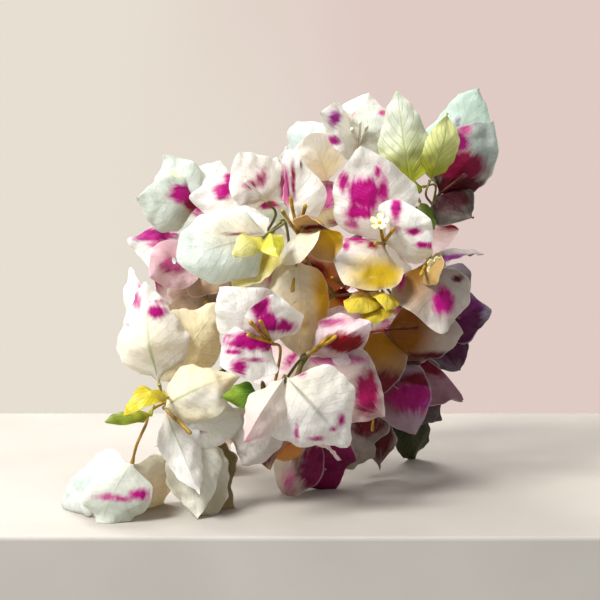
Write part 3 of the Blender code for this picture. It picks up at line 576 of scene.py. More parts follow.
def papery_bract():
    """Bougainvillea bract: dry, paper-thin living tissue, matt, veined, and lit through from behind."""
    finish, tree, shader = new_finish("papery bougainvillea bract")
    layers = ("ground", "tint", "flush", "rib", "variety")
    blade, along, aside, paint = blade_reading(tree, layers)
    where = add_node(tree, "TexCoord").outputs["Object"]

    # Pigment runs out along the veins in streaks about 3 mm wide and 10 mm long
    streak_place = add_node(tree, "Mapping", {"Vector": blade, "Scale": (7, 2.2, 1)})
    streak = add_node(tree, "TexNoise",
                      {"Vector": streak_place, "W": paint["variety"]["Fac"],
                       "Scale": 1.6, "Detail": 4, "Roughness": 0.6}, noise_dimensions="4D")
    # Blotches just under 4 mm wide break up its edge
    blotch = add_node(tree, "TexNoise", {"Vector": where, "Scale": 260, "Detail": 3, "Roughness": 0.55})
    rough_edge = add_node(tree, "Math", {0: streak, 1: 1.1, 2: -0.55}, operation="MULTIPLY_ADD")
    fine_edge = add_node(tree, "Math", {0: blotch, 1: 0.5, 2: -0.25}, operation="MULTIPLY_ADD")
    edge = add_node(tree, "Math", {0: rough_edge, 1: fine_edge}, operation="ADD")
    pigment = add_node(tree, "Math", {0: paint["flush"]["Alpha"], 1: edge}, operation="ADD")
    strong = add_node(tree, "MapRange", {"Value": pigment, "From Min": 0.36, "From Max": 0.76},
                      interpolation_type="SMOOTHSTEP")
    faint = add_node(tree, "MapRange", {"Value": pigment, "From Min": 0.08, "From Max": 0.55, "To Max": 0.5},
                     interpolation_type="SMOOTHSTEP")
    # The pigment lies thicker in the streaks, where it turns wine-red
    thick = add_node(tree, "MapRange",
                     {"Value": streak, "From Min": 0.5, "From Max": 0.72, "To Min": 1, "To Max": 0.5},
                     interpolation_type="SMOOTHSTEP")
    deep = add_node(tree, "VectorMath", {0: paint["flush"]["Color"], "Scale": thick}, operation="SCALE")

    # Side veins leave the midrib every 3 mm or so, with a net of 2 mm meshes between them
    main_veins = veins_of(tree, along, aside, streak,
                          wander=0.09, slant=0.55, rows=11.0, width=0.11, rib=0.022)
    net_place = add_node(tree, "Mapping", {"Vector": blade, "Scale": (15, 17, 1)})
    net = add_node(tree, "TexVoronoi", {"Vector": net_place, "Scale": 1.0}, feature="DISTANCE_TO_EDGE")
    net_veins = add_node(tree, "MapRange",
                         {"Value": net, "From Min": 0.0, "From Max": 0.09, "To Min": 1, "To Max": 0})
    veins = add_node(tree, "Math", {0: net_veins, 1: 0.35, 2: main_veins}, operation="MULTIPLY_ADD")
    vein_share = add_node(tree, "Math", {0: veins, 1: 0.11}, operation="MULTIPLY")
    rib_share = add_node(tree, "MapRange",
                         {"Value": aside, "From Min": 0.0, "From Max": 0.035,
                          "To Min": paint["rib"]["Alpha"], "To Max": 0}, interpolation_type="SMOOTHSTEP")
    # The dry margin is paler than the blade
    margin = add_node(tree, "MapRange",
                      {"Value": aside, "From Min": 0.465, "From Max": 0.5, "To Min": 0, "To Max": 0.4})
    # The ground, tint and flush layers also carry the painted shade and painted glow listed in PAINTS
    colour = coats(tree, paint["ground"]["Color"], [
        (paint["tint"]["Alpha"], paint["tint"]["Color"]),
        (vein_share, linear(VEIN_BROWN)),
        (faint, paint["flush"]["Color"]),
        (strong, deep),
        (rib_share, paint["rib"]["Color"]),
        (margin, linear(WHITE)),
    ])

    # Dry tissue is finely crinkled: creases 4 mm apart and about half a millimetre deep
    crinkle = add_node(tree, "TexNoise",
                       {"Vector": where, "Scale": 250, "Detail": 3, "Roughness": 0.55, "Distortion": 0.8})
    creased = add_node(tree, "Bump", {"Height": crinkle, "Strength": 0.55, "Distance": 0.0009})
    relief = add_node(tree, "Bump",
                      {"Height": veins, "Normal": creased, "Strength": 0.35, "Distance": 0.0003})
    feed(tree, shader,
         {"Base Color": colour, "Normal": relief, "Roughness": 0.55, "Specular IOR Level": 0.35})
    warmed = add_node(tree, "Mix", {"Factor": 1.0, "A": colour, "B": linear(DRY_WARMTH)},
                      data_type="RGBA", blend_type="MULTIPLY")
    light_through(tree, shader, warmed, relief, 0.46)
    return finish


def living_leaf():
    """Soft young leaf: thin, faintly waxed, with a sunken net of veins paler than the blade."""
    finish, tree, shader = new_finish("soft bougainvillea leaf")
    blade, along, aside, paint = blade_reading(tree, ("ground", "tint", "rib", "variety"))
    # The blade is mottled in patches a few millimetres wide
    mottle_place = add_node(tree, "Mapping", {"Vector": blade, "Scale": (5, 5, 1)})
    mottle = add_node(tree, "TexNoise",
                      {"Vector": mottle_place, "W": paint["variety"]["Fac"], "Scale": 1.5, "Detail": 4},
                      noise_dimensions="4D")
    shade = add_node(tree, "MapRange",
                     {"Value": mottle, "From Min": 0.3, "From Max": 0.7, "To Min": 0.82, "To Max": 1.08})
    tinted = coats(tree, paint["ground"]["Color"], [(paint["tint"]["Alpha"], paint["tint"]["Color"])])
    mottled = add_node(tree, "VectorMath", {0: tinted, "Scale": shade}, operation="SCALE")
    # Eight pairs of side veins, whatever the leaf's length
    veins = veins_of(tree, along, aside, mottle, wander=0.07, slant=0.7, rows=8.0, width=0.09, rib=0.03)
    vein_share = add_node(tree, "Math", {0: veins, 1: 0.45}, operation="MULTIPLY")
    colour = coats(tree, mottled, [(vein_share, paint["rib"]["Color"])])
    hollow = add_node(tree, "Math", {0: veins, 1: -1.0}, operation="MULTIPLY")
    relief = add_node(tree, "Bump", {"Height": hollow, "Strength": 0.5, "Distance": 0.0004})
    feed(tree, shader, {"Base Color": colour, "Normal": relief, "Roughness": 0.42})
    light_through(tree, shader, colour, relief, 0.35)
    return finish


def young_bark():
    """Green wood of this year's growth: olive skin, half matt, with a grain 1 mm wide and 8 mm patches."""
    finish, tree, shader = new_finish("young bougainvillea bark")
    where = add_node(tree, "TexCoord").outputs["Object"]
    bark = add_node(tree, "Attribute", attribute_name="bark").outputs["Color"]
    grain = add_node(tree, "TexNoise", {"Vector": where, "Scale": 900, "Detail": 5, "Roughness": 0.6})
    patches = add_node(tree, "TexNoise", {"Vector": where, "Scale": 120, "Detail": 2})
    shade = add_node(tree, "MapRange",
                     {"Value": patches, "From Min": 0.3, "From Max": 0.7, "To Min": 0.65, "To Max": 1.2})
    skin = add_node(tree, "VectorMath", {0: bark, "Scale": shade}, operation="SCALE")
    relief = add_node(tree, "Bump", {"Height": grain, "Strength": 0.4, "Distance": 0.0002})
    feed(tree, shader, {"Base Color": skin, "Normal": relief, "Roughness": 0.55})
    return finish


def flower_skin(name, low_hex, high_hex, roughness):
    """Skin of the true flower: waxy under fine down, so it is half matt, and mottled every 3 mm."""
    finish, tree, shader = new_finish(name)
    where = add_node(tree, "TexCoord").outputs["Object"]
    skin = clouded(tree, where, low_hex, high_hex, Scale=320, Detail=3, Roughness=0.5)
    down = add_node(tree, "TexNoise", {"Vector": where, "Scale": 2500, "Detail": 2})
    relief = add_node(tree, "Bump", {"Height": down, "Strength": 0.25, "Distance": 0.0001})
    feed(tree, shader, {"Base Color": skin, "Normal": relief, "Roughness": roughness})
    return finish


# The front view that patches of colour are placed by: a square 600 units wide
VIEW_MIDDLE = 300
VIEW_PLACE = Vector((9.0, -527.2, 133.9))
VIEW_PITCH = math.radians(5)
VIEW_LENGTH = 1166.7  # in the same units: a lens of 70 mm before a sensor 36 mm wide


def seen_at(place):
    """Where a point of the design frame falls in the front view, from its left and from its top."""
    off = place - VIEW_PLACE
    depth = off.y * math.cos(VIEW_PITCH) - off.z * math.sin(VIEW_PITCH)
    height = off.y * math.sin(VIEW_PITCH) + off.z * math.cos(VIEW_PITCH)
    return VIEW_MIDDLE + VIEW_LENGTH * off.x / depth, VIEW_MIDDLE - VIEW_LENGTH * height / depth


# A bract's paint: its ground colour, soft tints, feathered flushes and the colour of its midrib. On bracts
# that lie in shade the grounds, tints and flushes are darkened as painted shade, and the gold and orange
# deep in the head of the glow, ember and fold blooms is painted glow of light passing through the bracts. A
# tint or a flush is its colour, then its middle and half sizes in the front view, and its strength.
Paint = namedtuple("Paint", "ground tints flushes rib", defaults=[(), (), None])
PAINTS = {
    "bloom_lantern": [
        Paint(WHITE, [(CREAM, 300, 385, 40, 18, 0.5)],
              [(MAGENTA, 341, 420, 3, 5, 0.9), (MAGENTA, 333, 429, 4, 2, 0.9),
               (MAGENTA, 317, 438, 8, 2, 0.9), (ROSE, 297, 432, 2, 9, 0.9), (ROSE, 302, 374, 4, 4, 0.8)],
              OLIVE),
        Paint("#F2EAE2", [(BLUSH, 250, 432, 14, 18, 0.5)], [(ROSE, 240, 442, 9, 4, 0.7)]),
        Paint(PINKISH, [(GREY, 300, 450, 10, 30, 0.6)]),
    ],
    "bloom_magenta": [
        Paint(WHITE, [(GREY, 372, 166, 30, 12, 0.7)],
              [(MAGENTA, 365, 194, 13, 13, 1.4), (MAGENTA, 383, 190, 5, 14, 1.2),
               (MAGENTA, 359, 212, 11, 7, 1.2), (MAGENTA, 343, 182, 4, 9, 1.1),
               (MAGENTA, 378, 173, 3, 8, 1.0), (ROSE, 352, 224, 6, 4)]),
        Paint(WHITE, (),
              [(MAGENTA, 396, 206, 4, 17, 1.1), (MAGENTA, 414, 231, 7, 3, 1.1),
               (MAGENTA, 424, 245, 7, 3, 1.1)]),
        Paint(WHITE, [(TAN, 392, 240, 24, 15, 1.2), ("#E2C21C", 380, 276, 24, 15, 1.4)],
              [(MAGENTA, 359, 235, 13, 6, 1.3), (CRIMSON, 372, 244, 4, 4), (MAGENTA, 347, 246, 3, 5, 0.9),
               (CRIMSON, 405, 249, 6, 3, 1.1)]),
    ],
    "bloom_heart": [
        Paint(WHITE),
        Paint(WHITE, (),
              [(MAGENTA, 261, 306, 7, 12, 1.3), (MAGENTA, 267, 322, 9, 8, 1.3),
               (MAGENTA, 284, 326, 9, 5, 1.1)]),
        Paint(WHITE, (),
              [(MAGENTA, 256, 341, 22, 7, 1.4), (MAGENTA, 280, 334, 13, 5, 1.2),
               (MAGENTA, 234, 352, 8, 2), (MAGENTA, 239, 367, 7, 6, 1.1), (ROSE, 254, 360, 12, 2, 0.8)]),
    ],
    "bloom_pillow": [
        # Bract 0's thin brown-pink line is a painted shadow in the crease of its cup
        Paint(MINT, [(CREAM, 244, 232, 28, 12, 1.0)], [("#93503C", 240, 234, 16, 1.6, 0.9)]),
        Paint("#F3EDB4", [("#DCC92A", 255, 262, 20, 7, 1.2)], [(CRIMSON, 239, 253, 4, 5, 1.1)]),
        Paint(WHITE),
    ],
    "bloom_right": [
        Paint("#CFC8C0", [("#A9761E", 414, 268, 15, 30, 1.3)],
              [(MAGENTA, 443, 301, 8, 11, 1.3), (MAGENTA, 400, 280, 4, 9, 1.2), (WINE, 457, 279, 5, 3)]),
        Paint("#C9A866"),
        Paint("#C9BDBD", [(SHADOW, 440, 258, 30, 4, 0.7)], [(PURPLE, 452, 258, 20, 3, 1.1)]),
    ],
    "bloom_ledge": [
        Paint("#F4EED2", [(WHITE, 205, 398, 30, 10, 0.8)], (), LIME),
        Paint(WHITE, [("#D6DACB", 220, 420, 26, 16, 0.5)], [(CRIMSON, 198, 432, 6, 2, 0.8)]),
        Paint(WHITE, (), (), LIME),
    ],
    "bloom_cream": [
        Paint(CREAM, [(GOLD, 324, 296, 10, 30, 1.3), ("#C7A55A", 303, 322, 14, 26, 0.9)]),
        Paint(WHITE, (), [(ROSE, 275, 281, 9, 9, 0.9)]),
        Paint(WHITE),
    ],
    "bloom_upright": [
        Paint(WHITE, (),
              [(ROSE, 286, 190, 3, 18, 1.1), (CRIMSON, 293, 182, 2, 16, 1.0), (WINE, 301, 162, 1, 6)]),
        Paint("#D2B27A", [("#E0BE14", 333, 232, 12, 14, 1.4)],
              [(WINE, 319, 227, 14, 2, 1.1), (CRIMSON, 310, 236, 6, 5)]),
        Paint(CREAM, [(GREY, 290, 248, 16, 6, 0.7)]),
    ],
    "bloom_blush": [
        # The dark red near the middle of bracts 0 and 1 is partly crimson pigment and partly painted shade
        # on their inner faces
        Paint(PINKISH, (),
              [("#A01020", 346, 343, 15, 8, 1.4), (ROSE, 330, 322, 18, 4, 1.0), (CRIMSON, 321, 321, 8, 3),
               (MAGENTA, 297, 356, 9, 3)]),
        Paint(PINKISH, [(BLUSH, 352, 322, 18, 10, 0.9)],
              [("#A01020", 343, 341, 16, 8, 1.4), (ROSE, 355, 328, 10, 5)]),
        Paint("#D8C2BC", [(GREY, 372, 368, 14, 20, 0.8)],
              [("#B20C5C", 367, 393, 9, 17, 1.3), (CRIMSON, 370, 378, 5, 8), (ROSE, 335, 360, 26, 4, 1.1)]),
    ],
    "bloom_hanging": [
        Paint(WHITE, [(CREAM, 155, 345, 30, 26, 0.7)],
              [(MAGENTA, 157, 312, 7, 5, 1.2), (ROSE, 136, 300, 4, 8, 0.9), (ROSE, 160, 302, 8, 2, 0.8),
               (ROSE, 128, 325, 4, 4, 0.6)], LIME),
        Paint("#F6F0DC", [("#EADFB0", 195, 345, 20, 32, 0.8)], [(ROSE, 180, 305, 8, 3, 0.8)]),
        Paint(WHITE, (), [(ROSE, 146, 265, 4, 3, 0.8), (ROSE, 140, 290, 3, 8, 0.7)]),
    ],
    "bloom_shore": [
        Paint("#D6E0DE", [(WHITE, 80, 505, 20, 12, 0.5)]),
        Paint("#E9ECE4", [("#CBD2C8", 112, 508, 30, 12, 0.9)],
              [(ROSE, 108, 497, 12, 3, 0.9), (MAGENTA, 138, 495, 9, 5, 1.0),
               (MAGENTA, 122, 499, 9, 3, 0.9), (ROSE, 148, 473, 5, 3, 0.8)]),
        Paint("#DFD8C6", [(TAN, 165, 490, 14, 14, 0.4)]),
    ],
    "bloom_slipper": [
        Paint("#EEEDE2", [("#C9C4AA", 172, 486, 12, 24, 0.7)]),
        Paint("#E9E6D6", [("#BDB491", 214, 500, 16, 16, 0.9)]),
        # Bract 2 is seen in shade: its olive-brown ground and tint are painted shade
        Paint("#A8966A", [("#7C6E3C", 228, 472, 12, 20, 0.9)]),
    ],
    "bloom_tip": [
        Paint("#C6D8CE", (), [(PURPLE, 458, 122, 3, 5, 0.6)]),
        Paint("#BCC6C0", [("#9AA098", 478, 165, 8, 30, 0.6)],
              [("#B0148A", 473, 117, 6, 5, 1.1), (ROSE, 465, 130, 5, 6, 1.1),
               ("#A30A74", 456, 142, 10, 8, 1.4), ("#94063E", 459, 168, 18, 12, 1.7),
               ("#5E0414", 459, 188, 18, 13, 1.6)]),
        Paint("#6E665C", [("#4A3A1A", 428, 195, 14, 12, 1.2)], [("#45060F", 448, 200, 18, 10, 1.4)]),
    ],
    "bloom_crown": [
        Paint(WHITE, (), [("#C03AB0", 335, 119, 5, 6), ("#C02C90", 332, 141, 7, 4)]),
        Paint(WHITE, (), [(ROSE, 356, 116, 3, 3, 0.9), (WINE, 360, 158, 3, 2, 0.8)]),
        Paint("#E9EFE9", [(LIME, 385, 170, 12, 12, 0.5)], [(ROSE, 383, 113, 4, 3, 0.8)]),
    ],
    "bloom_veil": [
        Paint(MINT, [("#CFE0E4", 300, 140, 12, 14, 0.6)]),
        Paint(WHITE, [(CREAM, 325, 168, 16, 14, 1.0)]),
        Paint("#E6DEDC", [(GOLD, 310, 215, 14, 8, 0.7)],
              [(ROSE, 327, 196, 6, 12, 1.2), (CRIMSON, 314, 194, 2, 8)]),
    ],
    "bloom_west": [
        Paint(MINT, [("#E6E88A", 174, 181, 6, 5, 0.9)]),
        Paint("#DCE3DC", [("#B9B398", 190, 214, 10, 6, 0.9)],
              [(MAGENTA, 184, 194, 10, 7, 1.4), (CRIMSON, 194, 204, 8, 6, 1.2)]),
        Paint(WHITE, (), [("#8A1470", 205, 197, 5, 4, 1.2)]),
    ],
    "bloom_stripe": [
        Paint(WHITE, (),
              [(MAGENTA, 223, 191, 7, 6, 1.3), (MAGENTA, 231, 181, 5, 8, 1.2),
               (CRIMSON, 240, 194, 12, 2, 1.0)]),
        Paint(WHITE, (), [(ROSE, 250, 185, 5, 4), (ROSE, 262, 178, 5, 9, 0.7)]),
        Paint(WHITE, (), [(ROSE, 284, 186, 4, 16, 1.0)]),
    ],
    "bloom_pink": [
        Paint(WHITE, (), [("#C01A8C", 155, 235, 18, 5, 1.4), (ROSE, 160, 244, 12, 4)]),
        Paint("#F0D6E0", [(BLUSH, 168, 255, 16, 12, 0.9)], [(ROSE, 173, 265, 10, 6, 1.2)]),
        # Bract 2's tan-brown ground and tint are painted shade
        Paint("#CDB9AA", [("#A9865A", 210, 300, 20, 26, 0.9)]),
    ],
    "bloom_fold": [
        # Bract 0's pinkish-brown band is painted shade at its top, bract 1's dark crimson flush is partly
        # pigment and partly painted shade, and bract 2's orange ground and the orange tints of bracts 1 and
        # 2 are painted glow of light passing through them
        Paint("#E6E1DC", [("#D9A79C", 258, 398, 20, 4, 0.7)]),
        Paint("#CDB29C", [(ORANGE, 275, 440, 12, 12, 0.8)], [("#6E0A28", 247, 456, 20, 9, 1.4)]),
        Paint("#D9A860", [(ORANGE, 283, 430, 12, 16, 1.0)],
              [(CRIMSON, 274, 433, 3, 3), (CRIMSON, 286, 441, 4, 3)]),
    ],
    "bloom_foot": [
        # The deep wine flushes of bracts 0 and 1 are partly magenta pigment and partly painted shade on
        # faces in shade, and bract 2's grey-tan ground is painted shade
        Paint(BLUSH, (), [("#8C0C50", 324, 470, 32, 26, 1.6)]),
        Paint("#CFC2B2", (), [("#8C0C50", 322, 468, 17, 22, 1.5), (ROSE, 290, 482, 6, 12, 0.8)]),
        Paint("#A89C92", (), [("#9A1070", 340, 443, 8, 9, 1.2), ("#6E0420", 368, 426, 14, 8, 1.3)]),
    ],
    "bloom_glow": [
        # Bracts in shade: the grey and brown grounds are painted shade, the golden-brown tints of bracts 0
        # and 2 are painted glow of light passing through the tissue, and the dark wine and red flushes are
        # partly pigment and partly painted shade
        Paint("#C3B7AC", [("#A3660F", 404, 330, 20, 26, 1.6)], [("#6A0C22", 440, 356, 28, 4, 1.0)]),
        Paint("#8B7672", (), [("#640828", 425, 354, 34, 14, 1.4)]),
        Paint("#B2906A", [("#C08A10", 380, 345, 18, 16, 1.4)],
              [("#7A1420", 386, 386, 16, 12, 1.2), (CRIMSON, 366, 372, 5, 8, 0.8)]),
    ],
    "bloom_wine": [
        # Bracts on the shaded lower right: the grey-mauve and dark grounds and the SHADOW and brown tints
        # are painted shade, and the dark wine flushes are partly wine-red pigment and partly painted shade
        Paint("#B58A96", [(SHADOW, 440, 355, 24, 5, 0.8)],
              [("#8C0634", 428, 362, 40, 10, 1.6), ("#C01880", 402, 366, 12, 6, 1.3)]),
        Paint("#B79CAA", [("#7A3A28", 392, 392, 12, 14, 1.2)],
              [("#B4127A", 414, 397, 20, 12, 1.3), ("#B43C98", 430, 402, 14, 6, 1.2),
               ("#7E0A28", 428, 380, 24, 6, 1.3), (PURPLE, 438, 418, 6, 6, 1.2)]),
        Paint("#5F5052", (), [("#4E0624", 440, 388, 20, 16, 1.4)]),
    ],
    "bloom_dusk": [
        # Bracts in the shade at the right: their grey-lilac and dark grey grounds are painted shade, and the
        # dark purple flushes are partly purple pigment and partly painted shade
        Paint("#9A93A4", (), [("#640E50", 465, 322, 13, 26, 1.5), ("#6E1060", 475, 306, 8, 8, 1.1)]),
        Paint("#6E6068", (), [("#50083A", 458, 345, 18, 14, 1.4)]),
        Paint("#93868E", (), [("#5E1048", 462, 300, 10, 14, 1.2)]),
    ],
    "bloom_garnet": [
        # Bracts in shade at the lower right: the grey-brown grounds are painted shade, and the dark red
        # flushes are partly red pigment and partly painted shade
        Paint("#A89C92", (), [("#62040E", 382, 425, 9, 26, 1.5)]),
        Paint("#9C8C82", (), [("#70041C", 362, 424, 16, 9, 1.4), ("#8C1040", 345, 430, 8, 12)]),
        Paint("#6E5048", (), [("#50061C", 360, 430, 18, 16, 1.3)]),
    ],
    "bloom_ember": [
        # Deep in the head: the gold and orange grounds and tints are painted glow of light passing through
        # the bracts, and the dark red flushes are partly crimson pigment and partly painted deep shade
        Paint("#D9A890", [("#D08A0A", 320, 292, 12, 22, 1.5)], [("#8A0618", 312, 272, 11, 8, 1.4)]),
        Paint("#C98A12", [("#B8680A", 345, 280, 16, 14, 1.0)],
              [("#7A0414", 338, 283, 16, 5, 1.3), (WINE, 333, 257, 9, 3, 1.1)]),
        Paint("#CF9458", [("#C98A12", 350, 300, 26, 12, 1.2)],
              [("#9A0A18", 345, 296, 8, 8, 1.2), (CRIMSON, 342, 336, 18, 10, 1.1)]),
    ],
    "bloom_shade": [
        # These bracts lie deep in shade: their taupe and brown grounds and tints are painted shade
        Paint("#BFA497", [("#9A6A34", 208, 300, 18, 26, 1.0)]),
        Paint("#CDBBA8", [(TAN, 180, 330, 24, 20, 0.7)]),
        Paint("#C9B4A6", [("#A9865A", 232, 296, 16, 26, 0.7)]),
    ],
}


def soft_oval(x, y, oval):
    """1 at the middle of an oval, a half at its edge and 0 at twice its size."""
    _, middle_x, middle_y, half_x, half_y, *strength = oval
    away = math.hypot((x - middle_x) / half_x, (y - middle_y) / half_y)
    return max(1 - away / 2, 0) * (strength[0] if strength else 1)


def strongest(x, y, ovals):
    """Colour and strength of the strongest of several ovals."""
    best, colour = 0.0, "#FFFFFF"
    for oval in ovals:
        share = soft_oval(x, y, oval)
        if share > best:
            best, colour = share, oval[0]
    return with_share(colour, best)


def wild_paint(seed):
    """Paint for a bract that the front view doesn't show: seeded flushes placed on the blade itself."""
    draw = random.Random(seed)
    flushes = [(MAGENTA if draw.random() < 0.75 else CRIMSON,
                draw.uniform(-0.9, 0.9), draw.uniform(0.35, 0.95),
                draw.uniform(0.2, 0.55), draw.uniform(0.08, 0.2), draw.uniform(0.75, 1.05))
               for _ in range(draw.choice([1, 2, 2, 3]))]
    ground = draw.choice([WHITE, WHITE, PINKISH, CREAM, MINT])
    return Paint(ground, (), flushes)


FOOT_GLOW, FOOT_GLOW_END = 0.35, 0.3  # strength of the golden foot, and how far up the blade it fades
RIB_GLOW, RIB_GLOW_END = 0.75, 0.8  # the same for a coloured midrib


def bract_paint(name, index, seed):
    """The colours of a bract, by the front view where its paint is listed and by the blade elsewhere."""
    listed = name in PAINTS
    paint = PAINTS[name][index] if listed else wild_paint(seed * 10 + index)

    def shares(place, u, v):
        x, y = seen_at(place) if listed else (u, v)
        tint = strongest(x, y, paint.tints)
        if not paint.tints:
            tint = with_share(GOLD, FOOT_GLOW * max(1 - v / FOOT_GLOW_END, 0) ** 1.5)
        rib = (0, 0, 0, 0)
        if paint.rib:
            rib = with_share(paint.rib, RIB_GLOW * max(1 - v / RIB_GLOW_END, 0))
        flush = strongest(x, y, paint.flushes)
        return {"ground": linear(paint.ground), "tint": tint, "flush": flush, "rib": rib}

    return shares


# A leaf's colour at its foot and at its tip, and that of its veins
LEAF_PAINTS = {
    "leaf_lime": ("#B4B82C", "#E4E7A4", "#8C9A20"),
    "leaf_pale": ("#A6AC1C", "#E6EADB", "#B4BE6A"),
    "leaf_calyx": ("#8E9010", "#B9BC38", "#7A8018"),
    "leaf_drop": ("#6B7A10", "#5C7A16", "#8FA03A"),
    "leaf_primrose": ("#DCD23A", "#F4EEA6", "#C9BE2C"),
    "leaf_sprig": ("#C9C21E", "#E3DC4A", "#A8A21A"),
    "leaf_jade": ("#2F860E", "#86A414", "#A9BE5A"),
    "leaf_arc": ("#D2BC14", "#E8D834", "#B0941A"),
    "leaf_green_tip": ("#A8AA20", "#8FA02A", "#7C8A1C"),
    # leaf_moss is a dark green leaf at the back, and its very dark olive is partly its own dark green and
    # partly painted shade
    "leaf_moss": ("#2A2810", "#41441C", "#5A5E2E"),
}
GOLDEN_LEAF = ("#D2AC14", "#EAD84A", "#B4921C")
TIP_STARTS, TIP_RUN, TIP_SHARE = 0.2, 0.5, 0.95  # where the tip's colour comes in along the blade


def leaf_paint(name):
    foot_hex, tip_hex, rib_hex = LEAF_PAINTS.get(name, GOLDEN_LEAF)

    def shares(place, u, v):
        tip = with_share(tip_hex, min(max((v - TIP_STARTS) / TIP_RUN, 0), 1) * TIP_SHARE)
        return {"ground": linear(foot_hex), "tint": tip, "flush": (0, 0, 0, 0), "rib": linear(rib_hex)}

    return shares


def paper_sheet(across, along):
    """A flat grid with its own map: the first value runs across the blade, the second along it."""
    deselect_all()
    bpy.ops.mesh.primitive_grid_add(x_subdivisions=across, y_subdivisions=along, size=2)
    sheet = bpy.context.active_object
    sheet.name = "paper sheet"
    sheet.data.uv_layers[0].name = "blade"
    return sheet


def crumple(place, seed):
    """Slow and quick unevenness of thin dry tissue, each from -1 to 1 or so, and its own for every blade."""
    drift = Vector((seed * 7.3, seed * 3.1, seed * 5.7))
    return noise.noise(place / SLOW_FOLDS + drift), noise.noise(place / QUICK_FOLDS - drift)


def uneven_margin(u, v, seed):
    """How much wider than its outline a blade is: each margin comes and goes by itself."""
    margin = 5 * math.copysign(1, u)
    return 1 + MARGIN_CHANGE * noise.noise(Vector((MARGIN_WAVES * v, margin, seed * 2.7)))


def paint_corners(mesh, shares, seed):
    """Keeps the painted layers, and the seed that varies the streaks, at each corner."""
    for layer in ("ground", "tint", "flush", "rib"):
        colours = mesh.color_attributes.new(layer, "FLOAT_COLOR", "POINT")
        for index, share in enumerate(shares):
            colours.data[index].color = share[layer]
    variety = mesh.attributes.new("variety", "FLOAT", "POINT")
    for value in variety.data:
        value.value = seed


def grown_blade(name, sheet, foot, blade, bend, seed, thickness, finish, paint):
    """A bract or a leaf: the flat sheet drawn to its curve, crumpled, painted and given its thickness."""
    piece = copy_of(sheet, name)
    mesh = piece.data
    places = [(corner.co.x, (corner.co.y + 1) / 2) for corner in mesh.vertices]
    reach = blade_point(0, 1, foot, blade, bend) - foot
    for corner, (u, v) in zip(mesh.vertices, places):
        middle = blade_point(0, v, foot, blade, bend)
        corner.co = middle + (blade_point(u, v, foot, blade, bend) - middle) * uneven_margin(u, v, seed)
        corner.co += reach * TIP_REACH * v ** 7
    mesh.update()
    normals = [corner.normal.copy() for corner in mesh.vertices]
    shares = []
    for corner, normal, (u, v) in zip(mesh.vertices, normals, places):
        slow, quick = crumple(corner.co, seed)
        edge = max(abs(u), v) ** 3
        calm = min(v * 5, 1)
        lift = SLOW_LIFT * slow + QUICK_LIFT * quick + edge * (SLOW_EDGE * slow + QUICK_EDGE * quick)
        corner.co += normal * calm * lift
        shares.append(paint(corner.co, u, v))
        corner.co.z = max(corner.co.z, REST_HEIGHT)
        corner.co = (corner.co - FOOTPRINT_CENTRE) * MM
    paint_corners(mesh, shares, seed)
    merge_doubles(piece)
    apply_modifier(piece, "SOLIDIFY", thickness=thickness * MM, offset=0)
    smooth(piece, 50)
    give_finish(piece, finish)
    return piece


# Rings that a flower tube is drawn out by: height above the last ring, and how much wider
TUBE_FOOT = [(1.5, 1.5), (3.0, 1.25), (3.0, 0.9), (3.0, 0.95)]
BUD_RINGS = TUBE_FOOT + [(2.6, 1.25), (1.4, 1.15), (0.9, 0.85), (0.5, 0.5)]
OPEN_RINGS = TUBE_FOOT + [(3.4, 1.15), (1.1, 1.35)]
TUBE_CORNERS = 10
DRAWN_IN = 0.84  # reach of a corner that is drawn in, as a share of the others'


def tube_shape(name, rings):
    """A flower tube, flattened on one side: a short drum whose upper end is drawn out ring by ring."""
    deselect_all()
    bpy.ops.mesh.primitive_cylinder_add(vertices=TUBE_CORNERS, radius=0.5, depth=1, location=(0, 0, 0.5))
    tube = bpy.context.active_object
    tube.name = name
    bpy.ops.object.transform_apply(location=True)
    bpy.ops.object.mode_set(mode="EDIT")
    bpy.ops.mesh.select_all(action="DESELECT")
    bpy.ops.object.mode_set(mode="OBJECT")
    for face in tube.data.polygons:
        face.select = face.normal.z > 0.9
    bpy.ops.object.mode_set(mode="EDIT")
    bpy.ops.mesh.select_mode(type="FACE")
    for height, wider in rings:
        bpy.ops.mesh.extrude_region_move(TRANSFORM_OT_translate={"value": (0, 0, height)})
        bpy.ops.transform.resize(value=(wider, wider, 1))
    bpy.ops.object.mode_set(mode="OBJECT")
    # The corners stand at half steps, where rounding falls either way: it picks four in each ring,
    # and above the foot these lie side by side
    for corner in tube.data.vertices:
        angle = math.atan2(corner.co.y, corner.co.x)
        if round(angle / math.radians(360 / TUBE_CORNERS)) % 2:
            corner.co.xy *= DRAWN_IN
    apply_modifier(tube, "SUBSURF", levels=1, render_levels=1)
    smooth(tube, 70)
    return tube


LOBES = 5
LOBE_DEPTH = 0.55  # how far the outline draws in between two lobes, as a share of the radius
NOTCH_DEPTH, NOTCH_WIDTH = 0.14, 0.22  # the notch at a lobe's end
STAR_CUP = 1.1
LOBE_CURL = 0.35
THROAT_DEPTH, THROAT_SHARE, THROAT_RADIUS = 0.5, 0.25, 1.1


